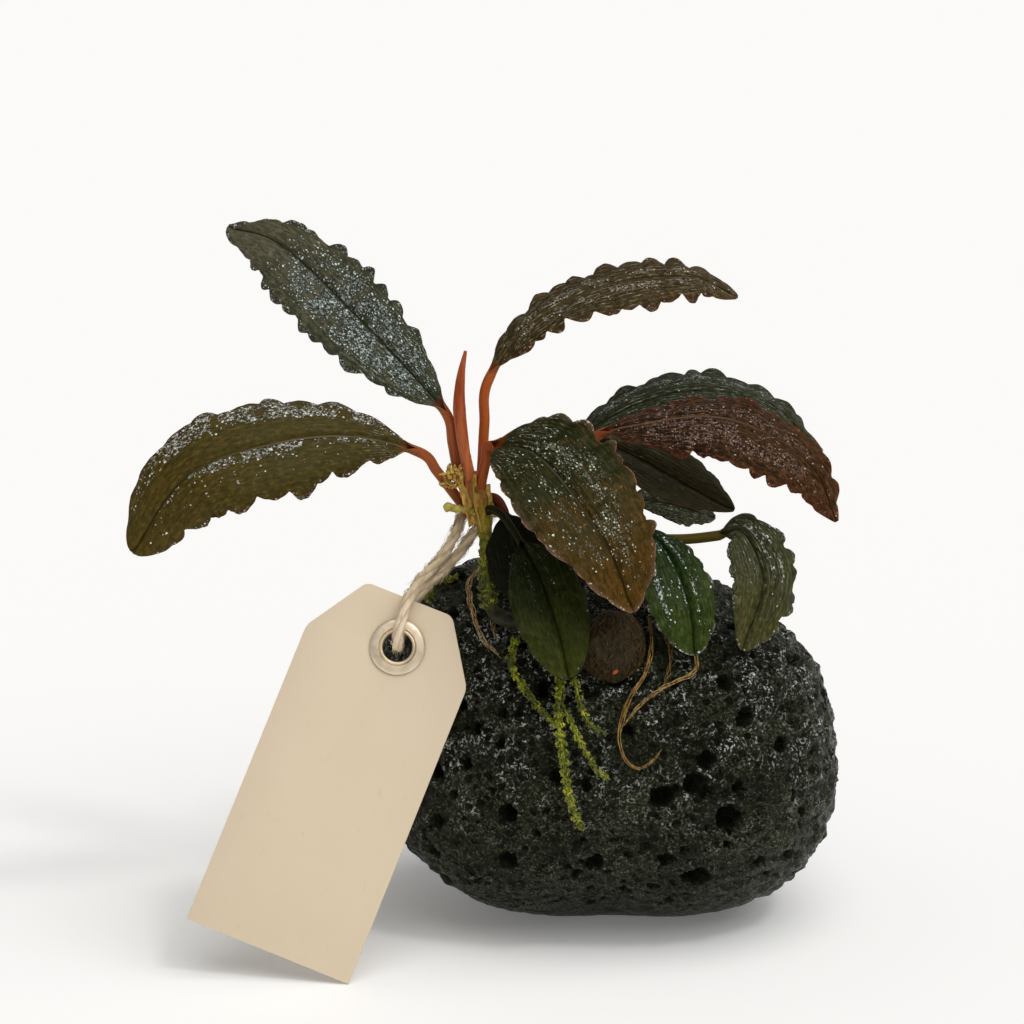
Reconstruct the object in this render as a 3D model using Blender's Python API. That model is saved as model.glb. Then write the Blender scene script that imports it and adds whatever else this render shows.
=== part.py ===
"""A Bucephalandra plant rooted on a black lava stone, with a paper tag tied on by a cotton string.

Lengths are in millimetres and MM turns them into the metres that Blender works in.
The origin is the middle of the stone's flat resting face, +Z is up and the front looks along -Y.
"""
import math

import bmesh
import bpy
from mathutils import Matrix, Vector, noise

MM = 0.001

# Gap between pieces that touch
GAP = 0.4

# Stone: a rounded block, boxier from side to side than from front to back
STONE_CENTRE = Vector((0.0, 0.0, 34.0))
STONE_WIDTH = 92.0
STONE_DEPTH = 76.0
STONE_TOP = 39.5
STONE_BOTTOM = 35.5
STONE_SIDE_POWER = 2.6
STONE_SECTION_POWER = 2.05
STONE_SEGMENTS = 11
STONE_UNEVEN = 0.9
STONE_UNEVEN_PITCH = 2.6
# direction from the centre, height, spread
STONE_BUMPS = (
    ((-0.75, -0.10, 0.72), 4.0, 0.45),
    ((0.62, 0.00, 0.80), -4.5, 0.50),
    ((-0.80, -0.10, -0.60), -2.0, 0.40),
    ((0.00, -0.62, -0.78), -4.5, 0.50),
    ((-0.66, -0.66, 0.36), -5.0, 0.45),
)

# Pits on the stone's front: x, z and radius
FRONT_PITS = (
    (9.5, 35.0, 2.4),
    (15.5, 37.5, 2.1),
    (18.0, 42.0, 1.9),
    (25.5, 49.0, 1.9),
    (22.5, 30.0, 2.7),
    (16.5, 17.0, 3.0),
    (10.5, 21.5, 1.7),
    (-3.5, 20.0, 2.0),
    (-20.5, 20.5, 2.0),
    (-20.5, 30.5, 1.9),
    (22.0, 55.5, 1.8),
    (33.0, 43.0, 1.7),
)
# Pits on the other sides follow an even spiral of directions
SPIRAL_PITS = 38
SPIRAL_PIT_RADII = (2.0, 2.8, 1.8, 3.2, 2.2)
SPIRAL_FRONT_LIMIT = -0.35
PIT_SPACING = 1.3
# Part of a pit's radius that its centre stands off the surface
PIT_LIFT = 0.25
# Pits above this radius are cut with the rounder of two balls
ROUNDER_PIT = 2.1
# No pits are cut below this direction, where the stone rests
FOOT_LIMIT = -0.80
GOLDEN_ANGLE = math.pi * (3.0 - math.sqrt(5.0))

# Old end of the rhizome: a rounded lump on the stone's front slope
KNOB_CENTRE = Vector((-0.2, -28.5, 62.5))
KNOB_HALF = Vector((6.2, 6.6, 7.2))
KNOB_UNEVEN = 0.08
KNOB_UNEVEN_PITCH = 2.2

# Stems: a centre line and the radius at each of its points
LEFT_STEM = (
    ((-8.8, -26.0, 66.5), 1.5),
    ((-13.0, -25.0, 66.0), 1.7),
    ((-18.0, -23.5, 66.0), 1.7),
    ((-22.6, -22.0, 67.2), 1.5),
    ((-24.2, -19.5, 71.5), 1.2),
    ((-24.4, -15.5, 77.5), 1.2),
    ((-24.6, -13.3, 82.0), 1.4),
    ((-25.6, -11.8, 87.0), 2.0),
    ((-26.8, -10.8, 91.6), 2.3),
)
RIGHT_STEM = (
    ((0.3, -22.6, 71.6), 2.2),
    ((0.0, -17.0, 75.5), 2.2),
    ((-1.0, -9.5, 78.2), 2.3),
    ((-1.6, -4.0, 80.6), 2.6),
)
STEM_SIDES = 8
LEFT_STEM_STATIONS = 16
RIGHT_STEM_STATIONS = 6
SHOOT_STATIONS = 8

# New shoot: a leaf still rolled into a spear
NEW_SHOOT = (
    ((-27.7, -11.7, 92.6), 1.0),
    ((-28.8, -11.2, 98.5), 1.2),
    ((-29.6, -10.8, 106.0), 1.3),
    ((-29.3, -10.4, 112.0), 0.9),
    ((-28.4, -10.0, 117.0), 0.3),
)

# Leaves: petiole and midrib points, the way the upper face looks at the base and at the tip,
# half widths right and left of the midrib, where the blade is widest, how far the halves fold up,
# and the number and height of the waves along each margin
LEAVES = {
    "leaf_upper_left": {
        "petiole": ((-29.9, -9.6, 93.0), (-31.0, -9.2, 98.5)),
        "midrib": (
            (-32.0, -9.0, 104.0),
            (-37.0, -8.0, 110.0),
            (-49.5, -3.0, 122.5),
            (-65.0, 5.0, 136.0),
            (-76.0, 9.0, 139.5),
        ),
        "faces": ((0.2, -0.9, 0.4), (-0.1, -0.8, 0.6)),
        "half_widths": (7.4, 9.4),
        "widest": 0.5,
        "blunt": (1.1, 2.0),
        "base_taper": 0.9,
        "fold": 6.0,
        "waves": 9,
        "wave_height": 0.7,
    },
    "leaf_left": {
        "petiole": ((-30.2, -11.0, 88.2), (-34.0, -12.0, 93.5)),
        "midrib": (
            (-37.5, -13.0, 97.5),
            (-50.0, -18.0, 101.5),
            (-64.5, -23.0, 101.0),
            (-81.0, -27.0, 95.5),
            (-92.0, -27.0, 80.5),
        ),
        "faces": ((0.0, -0.8, 0.6), (-0.2, -0.9, 0.4)),
        "half_widths": (8.8, 10.2),
        "widest": 0.55,
        "blunt": (1.9, 1.9),
        "base_taper": 0.9,
        "fold": -2.0,
        "waves": 9,
        "wave_height": 0.7,
    },
    "leaf_upper_right": {
        "petiole": ((-25.3, -8.4, 93.2), (-24.8, -7.0, 102.0)),
        "midrib": (
            (-24.0, -5.0, 110.5),
            (-15.5, 0.0, 121.5),
            (0.0, 8.0, 128.0),
            (16.5, 14.0, 129.0),
            (26.5, 16.0, 124.5),
        ),
        "faces": ((-0.3, -0.5, 0.85), (0.1, -0.5, 0.85)),
        "half_widths": (6.6, 5.6),
        "widest": 0.55,
        "blunt": (1.6, 1.8),
        "base_taper": 0.9,
        "fold": -6.0,
        "waves": 9,
        "wave_height": 0.7,
    },
    "leaf_front": {
        "petiole": ((-25.0, -13.0, 93.2), (-24.3, -13.6, 96.5)),
        "midrib": (
            (-23.5, -14.5, 99.0),
            (-15.5, -22.0, 99.0),
            (-8.5, -29.0, 93.0),
            (-1.0, -36.0, 82.5),
            (3.5, -39.0, 71.5),
        ),
        "faces": ((-0.1, -0.6, 0.8), (0.2, -0.8, 0.5)),
        "half_widths": (11.2, 11.6),
        "widest": 0.45,
        "blunt": (1.4, 1.4),
        "base_taper": 0.6,
        "fold": 5.0,
        "waves": 8,
        "wave_height": 0.7,
    },
    "leaf_right_back": {
        "petiole": ((-3.6, 0.6, 83.4), (-7.5, 4.0, 90.0)),
        "midrib": (
            (-7.0, 8.0, 96.0),
            (6.5, 14.0, 103.0),
            (20.5, 19.0, 105.0),
            (34.0, 23.0, 101.0),
            (45.5, 26.0, 91.0),
        ),
        "faces": ((0.0, -0.4, 0.9), (0.1, -0.4, 0.9)),
        "half_widths": (7.2, 7.2),
        "widest": 0.5,
        "blunt": (1.3, 1.3),
        "base_taper": 0.7,
        "fold": -6.0,
        "waves": 9,
        "wave_height": 0.7,
    },
    "leaf_right_red": {
        "petiole": ((-0.6, -3.4, 84.0), (-2.8, -4.6, 92.5)),
        "midrib": (
            (-2.5, -6.0, 99.5),
            (8.5, -9.0, 103.0),
            (20.0, -12.0, 104.5),
            (30.5, -15.0, 101.5),
            (39.5, -17.0, 94.5),
            (43.8, -17.0, 84.5),
        ),
        "faces": ((0.0, -0.6, 0.8), (0.3, -0.8, 0.5)),
        "half_widths": (8.2, 5.4),
        "widest": 0.52,
        "blunt": (1.3, 1.3),
        "base_taper": 0.9,
        "fold": -14.0,
        "waves": 9,
        "wave_height": 0.7,
    },
    "leaf_right_dark": {
        "petiole": ((-4.0, -4.0, 84.0), (-6.0, -3.0, 91.0)),
        "midrib": (
            (-4.0, -1.0, 98.0),
            (6.0, -3.0, 94.5),
            (14.5, -5.0, 90.0),
            (24.5, -8.0, 85.0),
        ),
        "faces": ((0.0, -0.8, 0.6), (0.1, -0.8, 0.6)),
        "half_widths": (5.8, 6.0),
        "widest": 0.5,
        "blunt": (1.2, 1.2),
        "base_taper": 0.9,
        "fold": 4.0,
        "waves": 6,
        "wave_height": 0.3,
    },
    "leaf_small_back": {
        "petiole": ((1.0, 1.2, 81.8), (2.0, 5.0, 83.0)),
        "midrib": ((5.0, 8.0, 84.0), (13.0, 12.0, 82.5), (22.5, 15.0, 79.0)),
        "faces": ((0.0, -0.7, 0.7), (0.1, -0.7, 0.7)),
        "half_widths": (4.6, 4.6),
        "widest": 0.5,
        "blunt": (1.2, 1.2),
        "base_taper": 0.9,
        "fold": 5.0,
        "waves": 5,
        "wave_height": 0.4,
    },
    "leaf_right_green": {
        "petiole": ((2.6, -8.5, 79.6), (5.0, -11.0, 81.5)),
        "midrib": (
            (7.0, -14.0, 82.5),
            (11.5, -22.0, 78.0),
            (14.5, -28.5, 70.5),
            (15.5, -32.0, 61.5),
        ),
        "faces": ((0.0, -0.7, 0.7), (0.1, -0.9, 0.4)),
        "half_widths": (7.8, 4.9),
        "widest": 0.58,
        "blunt": (1.8, 1.8),
        "base_taper": 0.9,
        "fold": 6.0,
        "waves": 6,
        "wave_height": 0.3,
    },
    "leaf_right_curled": {
        "petiole": ((2.4, -4.8, 79.6), (9.0, -7.5, 79.2), (15.0, -10.0, 79.6)),
        "midrib": (
            (21.0, -12.5, 80.8),
            (25.5, -15.0, 82.2),
            (29.0, -19.0, 76.0),
            (28.8, -22.0, 70.5),
            (25.0, -26.5, 61.0),
        ),
        "faces": ((-0.2, -0.9, 0.4), (0.2, -0.9, 0.3)),
        "half_widths": (5.8, 6.0),
        "widest": 0.5,
        "blunt": (1.4, 1.4),
        "base_taper": 0.9,
        "fold": 8.0,
        "waves": 6,
        "wave_height": 0.5,
    },
    "leaf_low_front": {
        "petiole": ((-22.8, -14.2, 86.2), (-20.6, -16.6, 84.8)),
        "midrib": (
            (-18.0, -20.0, 81.5),
            (-14.0, -26.5, 75.5),
            (-10.6, -32.4, 66.5),
            (-8.6, -35.8, 58.0),
        ),
        "faces": ((0.1, -0.9, 0.4), (0.0, -0.9, 0.3)),
        "half_widths": (7.2, 6.4),
        "widest": 0.5,
        "blunt": (1.6, 1.6),
        "base_taper": 0.9,
        "fold": 5.0,
        "waves": 5,
        "wave_height": 0.25,
    },
    "leaf_low_shaded": {
        "petiole": ((-22.7, -9.4, 87.8), (-20.6, -11.5, 87.0)),
        "midrib": ((-18.5, -13.6, 84.0), (-16.5, -18.5, 77.5), (-14.5, -25.6, 69.0)),
        "faces": ((-0.1, -0.9, 0.4), (0.0, -0.9, 0.4)),
        "half_widths": (5.4, 5.4),
        "widest": 0.5,
        "blunt": (1.4, 1.4),
        "base_taper": 0.9,
        "fold": 4.0,
        "waves": 5,
        "wave_height": 0.25,
    },
}
RIB_THICKNESS = 1.2
RIB_TAPER = 0.6
BLADE_THICKNESS = 0.6
PETIOLE_RADIUS = 0.95
PETIOLE_STATIONS = 3
# From the margin inwards, on all four quarters of a leaf's ring
LEAF_DIAGONALS = ((0, 1), (1, 2), (4, 3), (3, 2), (4, 5), (5, 6), (0, 7), (7, 6))
# Up to this part of the blade the upper face follows from the outer blade's
CARRIED_PART = 0.25
TIP_HALF_WIDTH = 0.4
# Where the ring's middle points stand between midrib and margin, and how far they bulge
BLADE_MIDDLE = 0.55
BLADE_BULGE = 0.06
# Part of the wave that also swings the margin in and out
SCALLOP = 0.35

# Roots that lie on the stone's front: x and z along the root, and its radius
ROOTS = {
    "mossy_root_main": {
        "route": ((-10.0, 62.0), (-10.0, 57.0), (-10.5, 50.0), (-9.6, 43.0), (-8.4, 35.0), (-6.0, 29.0)),
        "radius": 1.2,
    },
    "mossy_root_left": {
        "route": ((-18.5, 63.5), (-19.5, 58.5), (-17.5, 55.0), (-15.2, 52.2), (-13.3, 50.6)),
        "radius": 0.9,
    },
    "mossy_root_right": {
        "route": ((-7.5, 57.0), (-6.0, 51.5), (-4.0, 48.5), (-1.5, 47.5)),
        "radius": 0.7,
    },
    "mossy_root_low": {
        "route": ((-7.7, 48.6), (-6.0, 45.0), (-3.5, 41.0), (-1.0, 39.0)),
        "radius": 0.7,
    },
    "brown_root_left": {
        "route": ((-26.4, 73.0), (-27.8, 71.0), (-27.4, 68.0), (-26.0, 64.0), (-23.6, 61.0), (-21.6, 59.2)),
        "radius": 0.55,
    },
    "brown_root_fine": {
        "route": ((-23.2, 66.3), (-23.0, 64.5), (-22.2, 62.4)),
        "radius": 0.4,
    },
    "brown_root_hook": {
        "route": (
            (7.2, 66.5),
            (7.4, 63.0),
            (6.4, 58.5),
            (3.6, 54.5),
            (1.6, 50.0),
            (1.0, 46.5),
            (2.0, 43.0),
            (4.5, 41.0),
            (7.0, 42.2),
            (9.0, 44.5),
        ),
        "radius": 0.5,
    },
    "brown_root_right": {
        "route": ((16.0, 60.5), (15.8, 58.0), (12.8, 56.6), (8.5, 54.8), (5.2, 52.6), (3.2, 50.6)),
        "radius": 0.5,
    },
    "brown_root_short": {
        "route": ((10.2, 64.0), (11.2, 61.0), (10.4, 58.0)),
        "radius": 0.4,
    },
}
ROOT_POINTS = 9
ROOT_TIP = 0.5

# Moss that stands on the stone's left shoulder and at the crown, as lumpy strands
MOSS = {
    "moss_shoulder": {
        "route": ((-35.0, -5.0, 65.5), (-32.5, -5.5, 68.0), (-29.6, -6.5, 70.6)),
        "radius": 0.9,
        "on_stone": True,
    },
    "moss_tuft": {
        "route": ((-36.0, -11.0, 67.2), (-35.4, -12.5, 69.4), (-34.8, -14.0, 71.8)),
        "radius": 0.9,
        "on_stone": False,
    },
    "moss_spur": {
        "route": ((-28.6, -13.6, 86.4), (-30.6, -14.0, 86.5), (-32.6, -14.2, 87.0)),
        "radius": 0.7,
        "on_stone": False,
    },
    "crown_fibres": {
        "route": ((-29.9, -13.4, 91.0), (-31.0, -14.0, 92.4), (-31.9, -14.2, 94.0)),
        "radius": 0.7,
        "on_stone": False,
    },
}
MOSS_POINTS = 5

# Paper tag, leaning back, its lower right corner on the floor
TAG_CORNER = Vector((-50.5, -44.3, 0.0))
TAG_LEAN = math.radians(18.0)
TAG_ROLL = math.radians(21.7)
TAG_WIDTH = 33.4
TAG_LENGTH = 72.6
TAG_THICKNESS = 0.6
TAG_SHOULDER = 7.8
TAG_SHOULDER_LENGTH = 12.0
TAG_HOLE = 3.7
TAG_HOLE_SEGMENTS = 24

# Eyelet, clenched over both faces of the card
EYELET_FROM_TOP = 9.5
EYELET_FROM_RIGHT = 15.4
EYELET_OUTER = 5.4
EYELET_HOLE = 2.9
EYELET_WALL = 0.4
EYELET_FLANGE = 0.5
EYELET_GAP = 0.3
EYELET_SEGMENTS = 18

# Cotton string: two strands from behind the left stem that pass through the eyelet.
# The middle of its route is given on the tag as x, way up the slope and height above the face
STRING_DIAMETER = 2.1
STRING_POINT_SPACING = 3.0
STRING_TO_TAG = (
    (-22.6, -6.6, 86.6),
    (-25.6, -6.9, 87.2),
    (-28.6, -8.6, 85.8),
    (-29.9, -12.4, 82.7),
    (-31.5, -16.0, 79.6),
    (-34.2, -19.2, 76.6),
)
STRING_ON_TAG = (
    (12.6, 76.0, 2.5),
    (10.6, 71.8, 2.9),
    (9.4, 67.6, 3.0),
    (9.0, 65.3, 2.2),
    (9.0, 64.4, 0.3),
    (9.0, 65.3, -1.6),
    (9.4, 67.6, -2.5),
    (11.0, 71.8, -2.7),
    (13.6, 75.6, -2.4),
)
STRING_FROM_TAG = (
    (-32.8, -17.6, 75.0),
    (-29.8, -15.4, 77.8),
    (-27.6, -12.8, 80.8),
    (-25.9, -9.9, 82.9),
    (-22.2, -8.7, 83.8),
)

COLOURS = {
    "stone": (0.030, 0.031, 0.033),
    "rhizome": (0.075, 0.045, 0.028),
    "stem": (0.16, 0.15, 0.035),
    "shoot": (0.50, 0.10, 0.030),
    "moss": (0.23, 0.25, 0.035),
    "root": (0.24, 0.15, 0.055),
    "fibres": (0.42, 0.31, 0.10),
    "card": (0.74, 0.66, 0.54),
    "eyelet": (0.62, 0.56, 0.46),
    "string": (0.62, 0.55, 0.43),
}
LEAF_COLOURS = {
    "leaf_upper_left": (0.045, 0.060, 0.040),
    "leaf_left": (0.090, 0.075, 0.025),
    "leaf_upper_right": (0.085, 0.060, 0.030),
    "leaf_front": (0.060, 0.065, 0.030),
    "leaf_right_back": (0.045, 0.050, 0.035),
    "leaf_right_red": (0.130, 0.050, 0.030),
    "leaf_right_dark": (0.050, 0.038, 0.022),
    "leaf_small_back": (0.035, 0.040, 0.028),
    "leaf_right_green": (0.025, 0.060, 0.020),
    "leaf_right_curled": (0.070, 0.075, 0.045),
    "leaf_low_front": (0.035, 0.050, 0.020),
    "leaf_low_shaded": (0.020, 0.025, 0.015),
}


def clear_scene():
    for thing in list(bpy.data.objects):
        bpy.data.objects.remove(thing, do_unlink=True)


def finish(name, colour, roughness, metallic=0.0):
    """A material of one colour for one sub-part."""
    made = bpy.data.materials.new(name)
    made.use_nodes = True
    shader = made.node_tree.nodes["Principled BSDF"]
    shader.inputs["Base Color"].default_value = (*colour, 1.0)
    shader.inputs["Roughness"].default_value = roughness
    shader.inputs["Metallic"].default_value = metallic
    return made


def add_object(name, data, material):
    made = bpy.data.objects.new(name, data)
    data.materials.append(material)
    bpy.context.scene.collection.objects.link(made)
    return made


def mesh_object(name, bm, material, sharp_angle=40.0):
    """An object from a mesh in millimetres."""
    bmesh.ops.recalc_face_normals(bm, faces=bm.faces)
    bmesh.ops.scale(bm, vec=(MM, MM, MM), verts=bm.verts)
    mesh = bpy.data.meshes.new(name)
    bm.to_mesh(mesh)
    bm.free()
    mesh.shade_smooth()
    mesh.set_sharp_from_angle(angle=math.radians(sharp_angle))
    return add_object(name, mesh, material)


def stone_reach(direction):
    """Distance from the stone's centre to its surface along a unit direction."""
    half_height = STONE_TOP if direction.z > 0.0 else STONE_BOTTOM
    side = (abs(direction.x) * 2.0 / STONE_WIDTH) ** STONE_SIDE_POWER
    section = (abs(direction.y) * 2.0 / STONE_DEPTH) ** STONE_SECTION_POWER
    section += (abs(direction.z) / half_height) ** STONE_SECTION_POWER
    total = side + section ** (STONE_SIDE_POWER / STONE_SECTION_POWER)
    reach = total ** (-1.0 / STONE_SIDE_POWER)
    for toward, height, spread in STONE_BUMPS:
        away = (direction - Vector(toward).normalized()).length / spread
        reach += height * math.exp(-away * away)
    return reach + STONE_UNEVEN * noise.noise(direction * STONE_UNEVEN_PITCH)


def above_stone(point, height):
    """The point moved along its ray from the stone's centre to a height above the surface."""
    direction = (Vector(point) - STONE_CENTRE).normalized()
    return STONE_CENTRE + direction * (stone_reach(direction) + height)


def clear_of_stone(point, clearance):
    """The point itself, or moved out where it is nearer to the stone than the clearance."""
    lifted = above_stone(point, clearance)
    is_clear = (Vector(point) - STONE_CENTRE).length > (lifted - STONE_CENTRE).length
    return Vector(point) if is_clear else lifted


def on_stone_front(x, z, height):
    """The point at x and z on the front of the stone, raised from the surface by a height."""
    outside = -STONE_DEPTH
    inside = 0.0
    while inside - outside > 0.01:
        middle = (outside + inside) / 2
        offset = Vector((x, middle, z)) - STONE_CENTRE
        if offset.length > stone_reach(offset.normalized()) + height:
            outside = middle
        else:
            inside = middle
    return Vector((x, outside, z))


def smooth_line(points, steps=12):
    """Points on a smooth curve through the given ones."""
    points = [Vector(point) for point in points]
    first = points[0] * 2 - points[1]
    last = points[-1] * 2 - points[-2]
    held = [first, *points, last]
    line = []
    for before, start, end, after in zip(held, held[1:], held[2:], held[3:]):
        for step in range(steps):
            t = step / steps
            line.append(
                0.5
                * (
                    2 * start
                    + (end - before) * t
                    + (2 * before - 5 * start + 4 * end - after) * t**2
                    + (3 * start - before - 3 * end + after) * t**3
                )
            )
    line.append(points[-1])
    return line


def lengths_along(line):
    """Distance from the line's start to each of its points."""
    travelled = [0.0]
    for start, end in zip(line, line[1:]):
        travelled.append(travelled[-1] + (end - start).length)
    return travelled


def point_at(line, travelled, distance):
    """The point at a distance along the line, and the direction there."""
    for index in range(1, len(line)):
        if travelled[index] >= distance or index == len(line) - 1:
            span = travelled[index] - travelled[index - 1]
            part = (distance - travelled[index - 1]) / span
            direction = (line[index] - line[index - 1]).normalized()
            return line[index - 1].lerp(line[index], part), direction


def even_points(points, count):
    """A number of evenly spaced points on a smooth curve through the given ones."""
    line = smooth_line(points)
    travelled = lengths_along(line)
    return [point_at(line, travelled, travelled[-1] * i / (count - 1))[0] for i in range(count)]


def loft(rings, diagonals=()):
    """A closed solid through rings that have the same number of points.

    Each diagonal joins a point of every ring to a point of the next one, given by their places in
    the ring, so that the two faces of a thin blade bend along the same lines.
    """
    bm = bmesh.new()
    bmesh.ops.create_circle(bm, cap_ends=True, segments=len(rings[0]), radius=1.0)
    bm.faces.ensure_lookup_table()
    face = bm.faces[0]
    for vert, place in zip(face.verts, rings[0]):
        vert.co = place
    for ring in rings[1:]:
        before = face.verts[:]
        made = bmesh.ops.extrude_face_region(bm, geom=[face])["geom"]
        if ring is not rings[1]:
            bmesh.ops.delete(bm, geom=[face], context="FACES_ONLY")
        face = next(item for item in made if isinstance(item, bmesh.types.BMFace))
        for vert, place in zip(face.verts, ring):
            vert.co = place
        for start, end in diagonals:
            bmesh.ops.connect_verts(bm, verts=[before[start], face.verts[end]])
    return bm


def solid_stem(line_and_radii, stations):
    """A tapering round solid along a centre line with a radius at each point."""
    points = [Vector(point) for point, radius in line_and_radii]
    radii = [radius for point, radius in line_and_radii]
    line = smooth_line(points)
    travelled = lengths_along(line)
    steps = (len(line) - 1) // (len(points) - 1)
    marks = [travelled[i * steps] for i in range(len(points))]
    rings = []
    side = (line[1] - line[0]).orthogonal().normalized()
    for i in range(stations):
        distance = travelled[-1] * i / (stations - 1)
        centre, direction = point_at(line, travelled, distance)
        span = max(j for j in range(len(marks) - 1) if marks[j] <= distance + 1e-6)
        part = (distance - marks[span]) / (marks[span + 1] - marks[span])
        radius = radii[span] + (radii[span + 1] - radii[span]) * part
        side = (side - direction * side.dot(direction)).normalized()
        up = direction.cross(side)
        ring = []
        for j in range(STEM_SIDES):
            angle = 2 * math.pi * j / STEM_SIDES
            ring.append(centre + (side * math.cos(angle) + up * math.sin(angle)) * radius)
        rings.append(ring)
    return loft(rings)


def build_stone():
    """The lava stone: a rounded block with a flat foot and open pits."""
    bm = bmesh.new()
    bmesh.ops.create_cube(bm, size=2.0)
    bmesh.ops.subdivide_edges(bm, edges=bm.edges, cuts=STONE_SEGMENTS - 1, use_grid_fill=True)
    for vert in bm.verts:
        spread = Vector([math.tan(value * math.pi / 4) for value in vert.co])
        vert.co = above_stone(STONE_CENTRE + spread, 0.0)
    everything = bm.verts[:] + bm.edges[:] + bm.faces[:]
    bmesh.ops.bisect_plane(bm, geom=everything, plane_co=(0, 0, 0), plane_no=(0, 0, 1), clear_inner=True)
    rim = [edge for edge in bm.edges if edge.is_boundary]
    bmesh.ops.contextual_create(bm, geom=rim)
    stone = mesh_object("stone", bm, finish("stone", COLOURS["stone"], 0.6))
    cut = stone.modifiers.new("pits", "BOOLEAN")
    cut.operation = "DIFFERENCE"
    cut.solver = "EXACT"
    cut.object = build_pit_cutter()


def pit_places():
    """Centre and radius of each pit, just outside the stone's surface."""
    places = []
    for x, z, radius in FRONT_PITS:
        places.append((on_stone_front(x, z, PIT_LIFT * radius), radius))
    for i in range(SPIRAL_PITS):
        height = 1.0 - 2.0 * (i + 0.5) / SPIRAL_PITS
        ring = math.sqrt(1.0 - height * height)
        angle = GOLDEN_ANGLE * i
        direction = Vector((ring * math.cos(angle), ring * math.sin(angle), height))
        radius = SPIRAL_PIT_RADII[i % len(SPIRAL_PIT_RADII)]
        centre = above_stone(STONE_CENTRE + direction, PIT_LIFT * radius)
        apart = all((centre - other).length > PIT_SPACING * (radius + r) for other, r in places)
        faces_front = direction.y < SPIRAL_FRONT_LIMIT
        if apart and not faces_front and direction.z > FOOT_LIMIT:
            places.append((centre, radius))
    return places


def build_pit_cutter():
    """Small balls that the pits are cut with."""
    bm = bmesh.new()
    for centre, radius in pit_places():
        level = 2 if radius > ROUNDER_PIT else 1
        place = Matrix.Translation(centre) @ Matrix.Rotation(centre.x, 4, "Z")
        bmesh.ops.create_icosphere(bm, subdivisions=level, radius=radius, matrix=place)
    cutter = mesh_object("pit_cutter", bm, finish("cutter", COLOURS["stone"], 0.6))
    cutter.hide_render = True
    cutter.display_type = "WIRE"
    return cutter


def build_knob():
    """The rhizome's old end, its back shaped to the stone."""
    bm = bmesh.new()
    bmesh.ops.create_icosphere(bm, subdivisions=3, radius=1.0)
    for vert in bm.verts:
        uneven = 1.0 + KNOB_UNEVEN * noise.noise(vert.co * KNOB_UNEVEN_PITCH)
        place = KNOB_CENTRE + Vector([a * b for a, b in zip(vert.co, KNOB_HALF)]) * uneven
        vert.co = clear_of_stone(place, 2 * GAP)
    mesh_object("rhizome_knob", bm, finish("rhizome_knob", COLOURS["rhizome"], 0.8))


def build_stems():
    left = [(clear_of_stone(point, radius + 2 * GAP), radius) for point, radius in LEFT_STEM]
    right = [(clear_of_stone(point, radius + 2 * GAP), radius) for point, radius in RIGHT_STEM]
    left_solid = solid_stem(left, LEFT_STEM_STATIONS)
    right_solid = solid_stem(right, RIGHT_STEM_STATIONS)
    shoot_solid = solid_stem(NEW_SHOOT, SHOOT_STATIONS)
    mesh_object("left_stem", left_solid, finish("left_stem", COLOURS["stem"], 0.7))
    mesh_object("right_stem", right_solid, finish("right_stem", COLOURS["rhizome"], 0.7))
    mesh_object("new_shoot", shoot_solid, finish("new_shoot", COLOURS["shoot"], 0.4))


def blade_width(part, widest, base_taper, bluntness):
    """Share of the blade's half width at a part of its length, from 0 at the base to 0 at the tip."""
    if part < widest:
        return math.sin(math.pi / 2 * part / widest) ** base_taper
    return max(0.0, math.cos(math.pi / 2 * (part - widest) / (1.0 - widest))) ** (1.0 / bluntness)


def leaf_ring(leaf, part, centre, direction, up):
    """Eight points round a leaf: margin, halfway and midrib, above and below."""
    side = direction.cross(up)
    fold = math.radians(leaf["fold"])
    wave = leaf["wave_height"] * math.sin(math.pi * part) ** 0.5
    swing = math.cos(2 * math.pi * leaf["waves"] * part)
    rib = RIB_THICKNESS / 2 * (1.0 - RIB_TAPER * part)
    half = BLADE_THICKNESS / 2
    halves = {}
    for sign, width, bluntness in zip((1, -1), leaf["half_widths"], leaf["blunt"]):
        share = blade_width(part, leaf["widest"], leaf["base_taper"], bluntness)
        rise = wave * swing * sign * min(1.0, 2 * share)
        reach = TIP_HALF_WIDTH + width * share + SCALLOP * rise
        bulge = BLADE_BULGE * reach
        out = side * sign * math.cos(fold) + up * math.sin(fold)
        margin = centre + out * reach + up * rise
        middle = centre + out * reach * BLADE_MIDDLE + up * bulge
        halves[sign] = (margin, middle + up * half, middle - up * half)
    right_margin, right_top, right_under = halves[1]
    left_margin, left_top, left_under = halves[-1]
    top = centre + up * rib
    under = centre - up * rib
    return [right_margin, right_top, top, left_top, left_margin, left_under, under, right_under]


def petiole_ring(centre, direction, up):
    """Eight points round the petiole, in the order of a leaf's ring."""
    side = direction.cross(up)
    ring = []
    for i in range(8):
        angle = math.pi * i / 4
        ring.append(centre + (side * math.cos(angle) + up * math.sin(angle)) * PETIOLE_RADIUS)
    return ring


def upper_sides(leaf, stations):
    """The way the upper face looks at each station: given on the outer blade, carried back from there."""
    base = Vector(leaf["faces"][0])
    tip = Vector(leaf["faces"][1])
    ups = []
    for part, centre, direction in reversed(stations):
        is_given = part > CARRIED_PART
        toward = base.lerp(tip, part) if is_given else ups[-1]
        ups.append((toward - direction * toward.dot(direction)).normalized())
    return ups[::-1]


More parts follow.
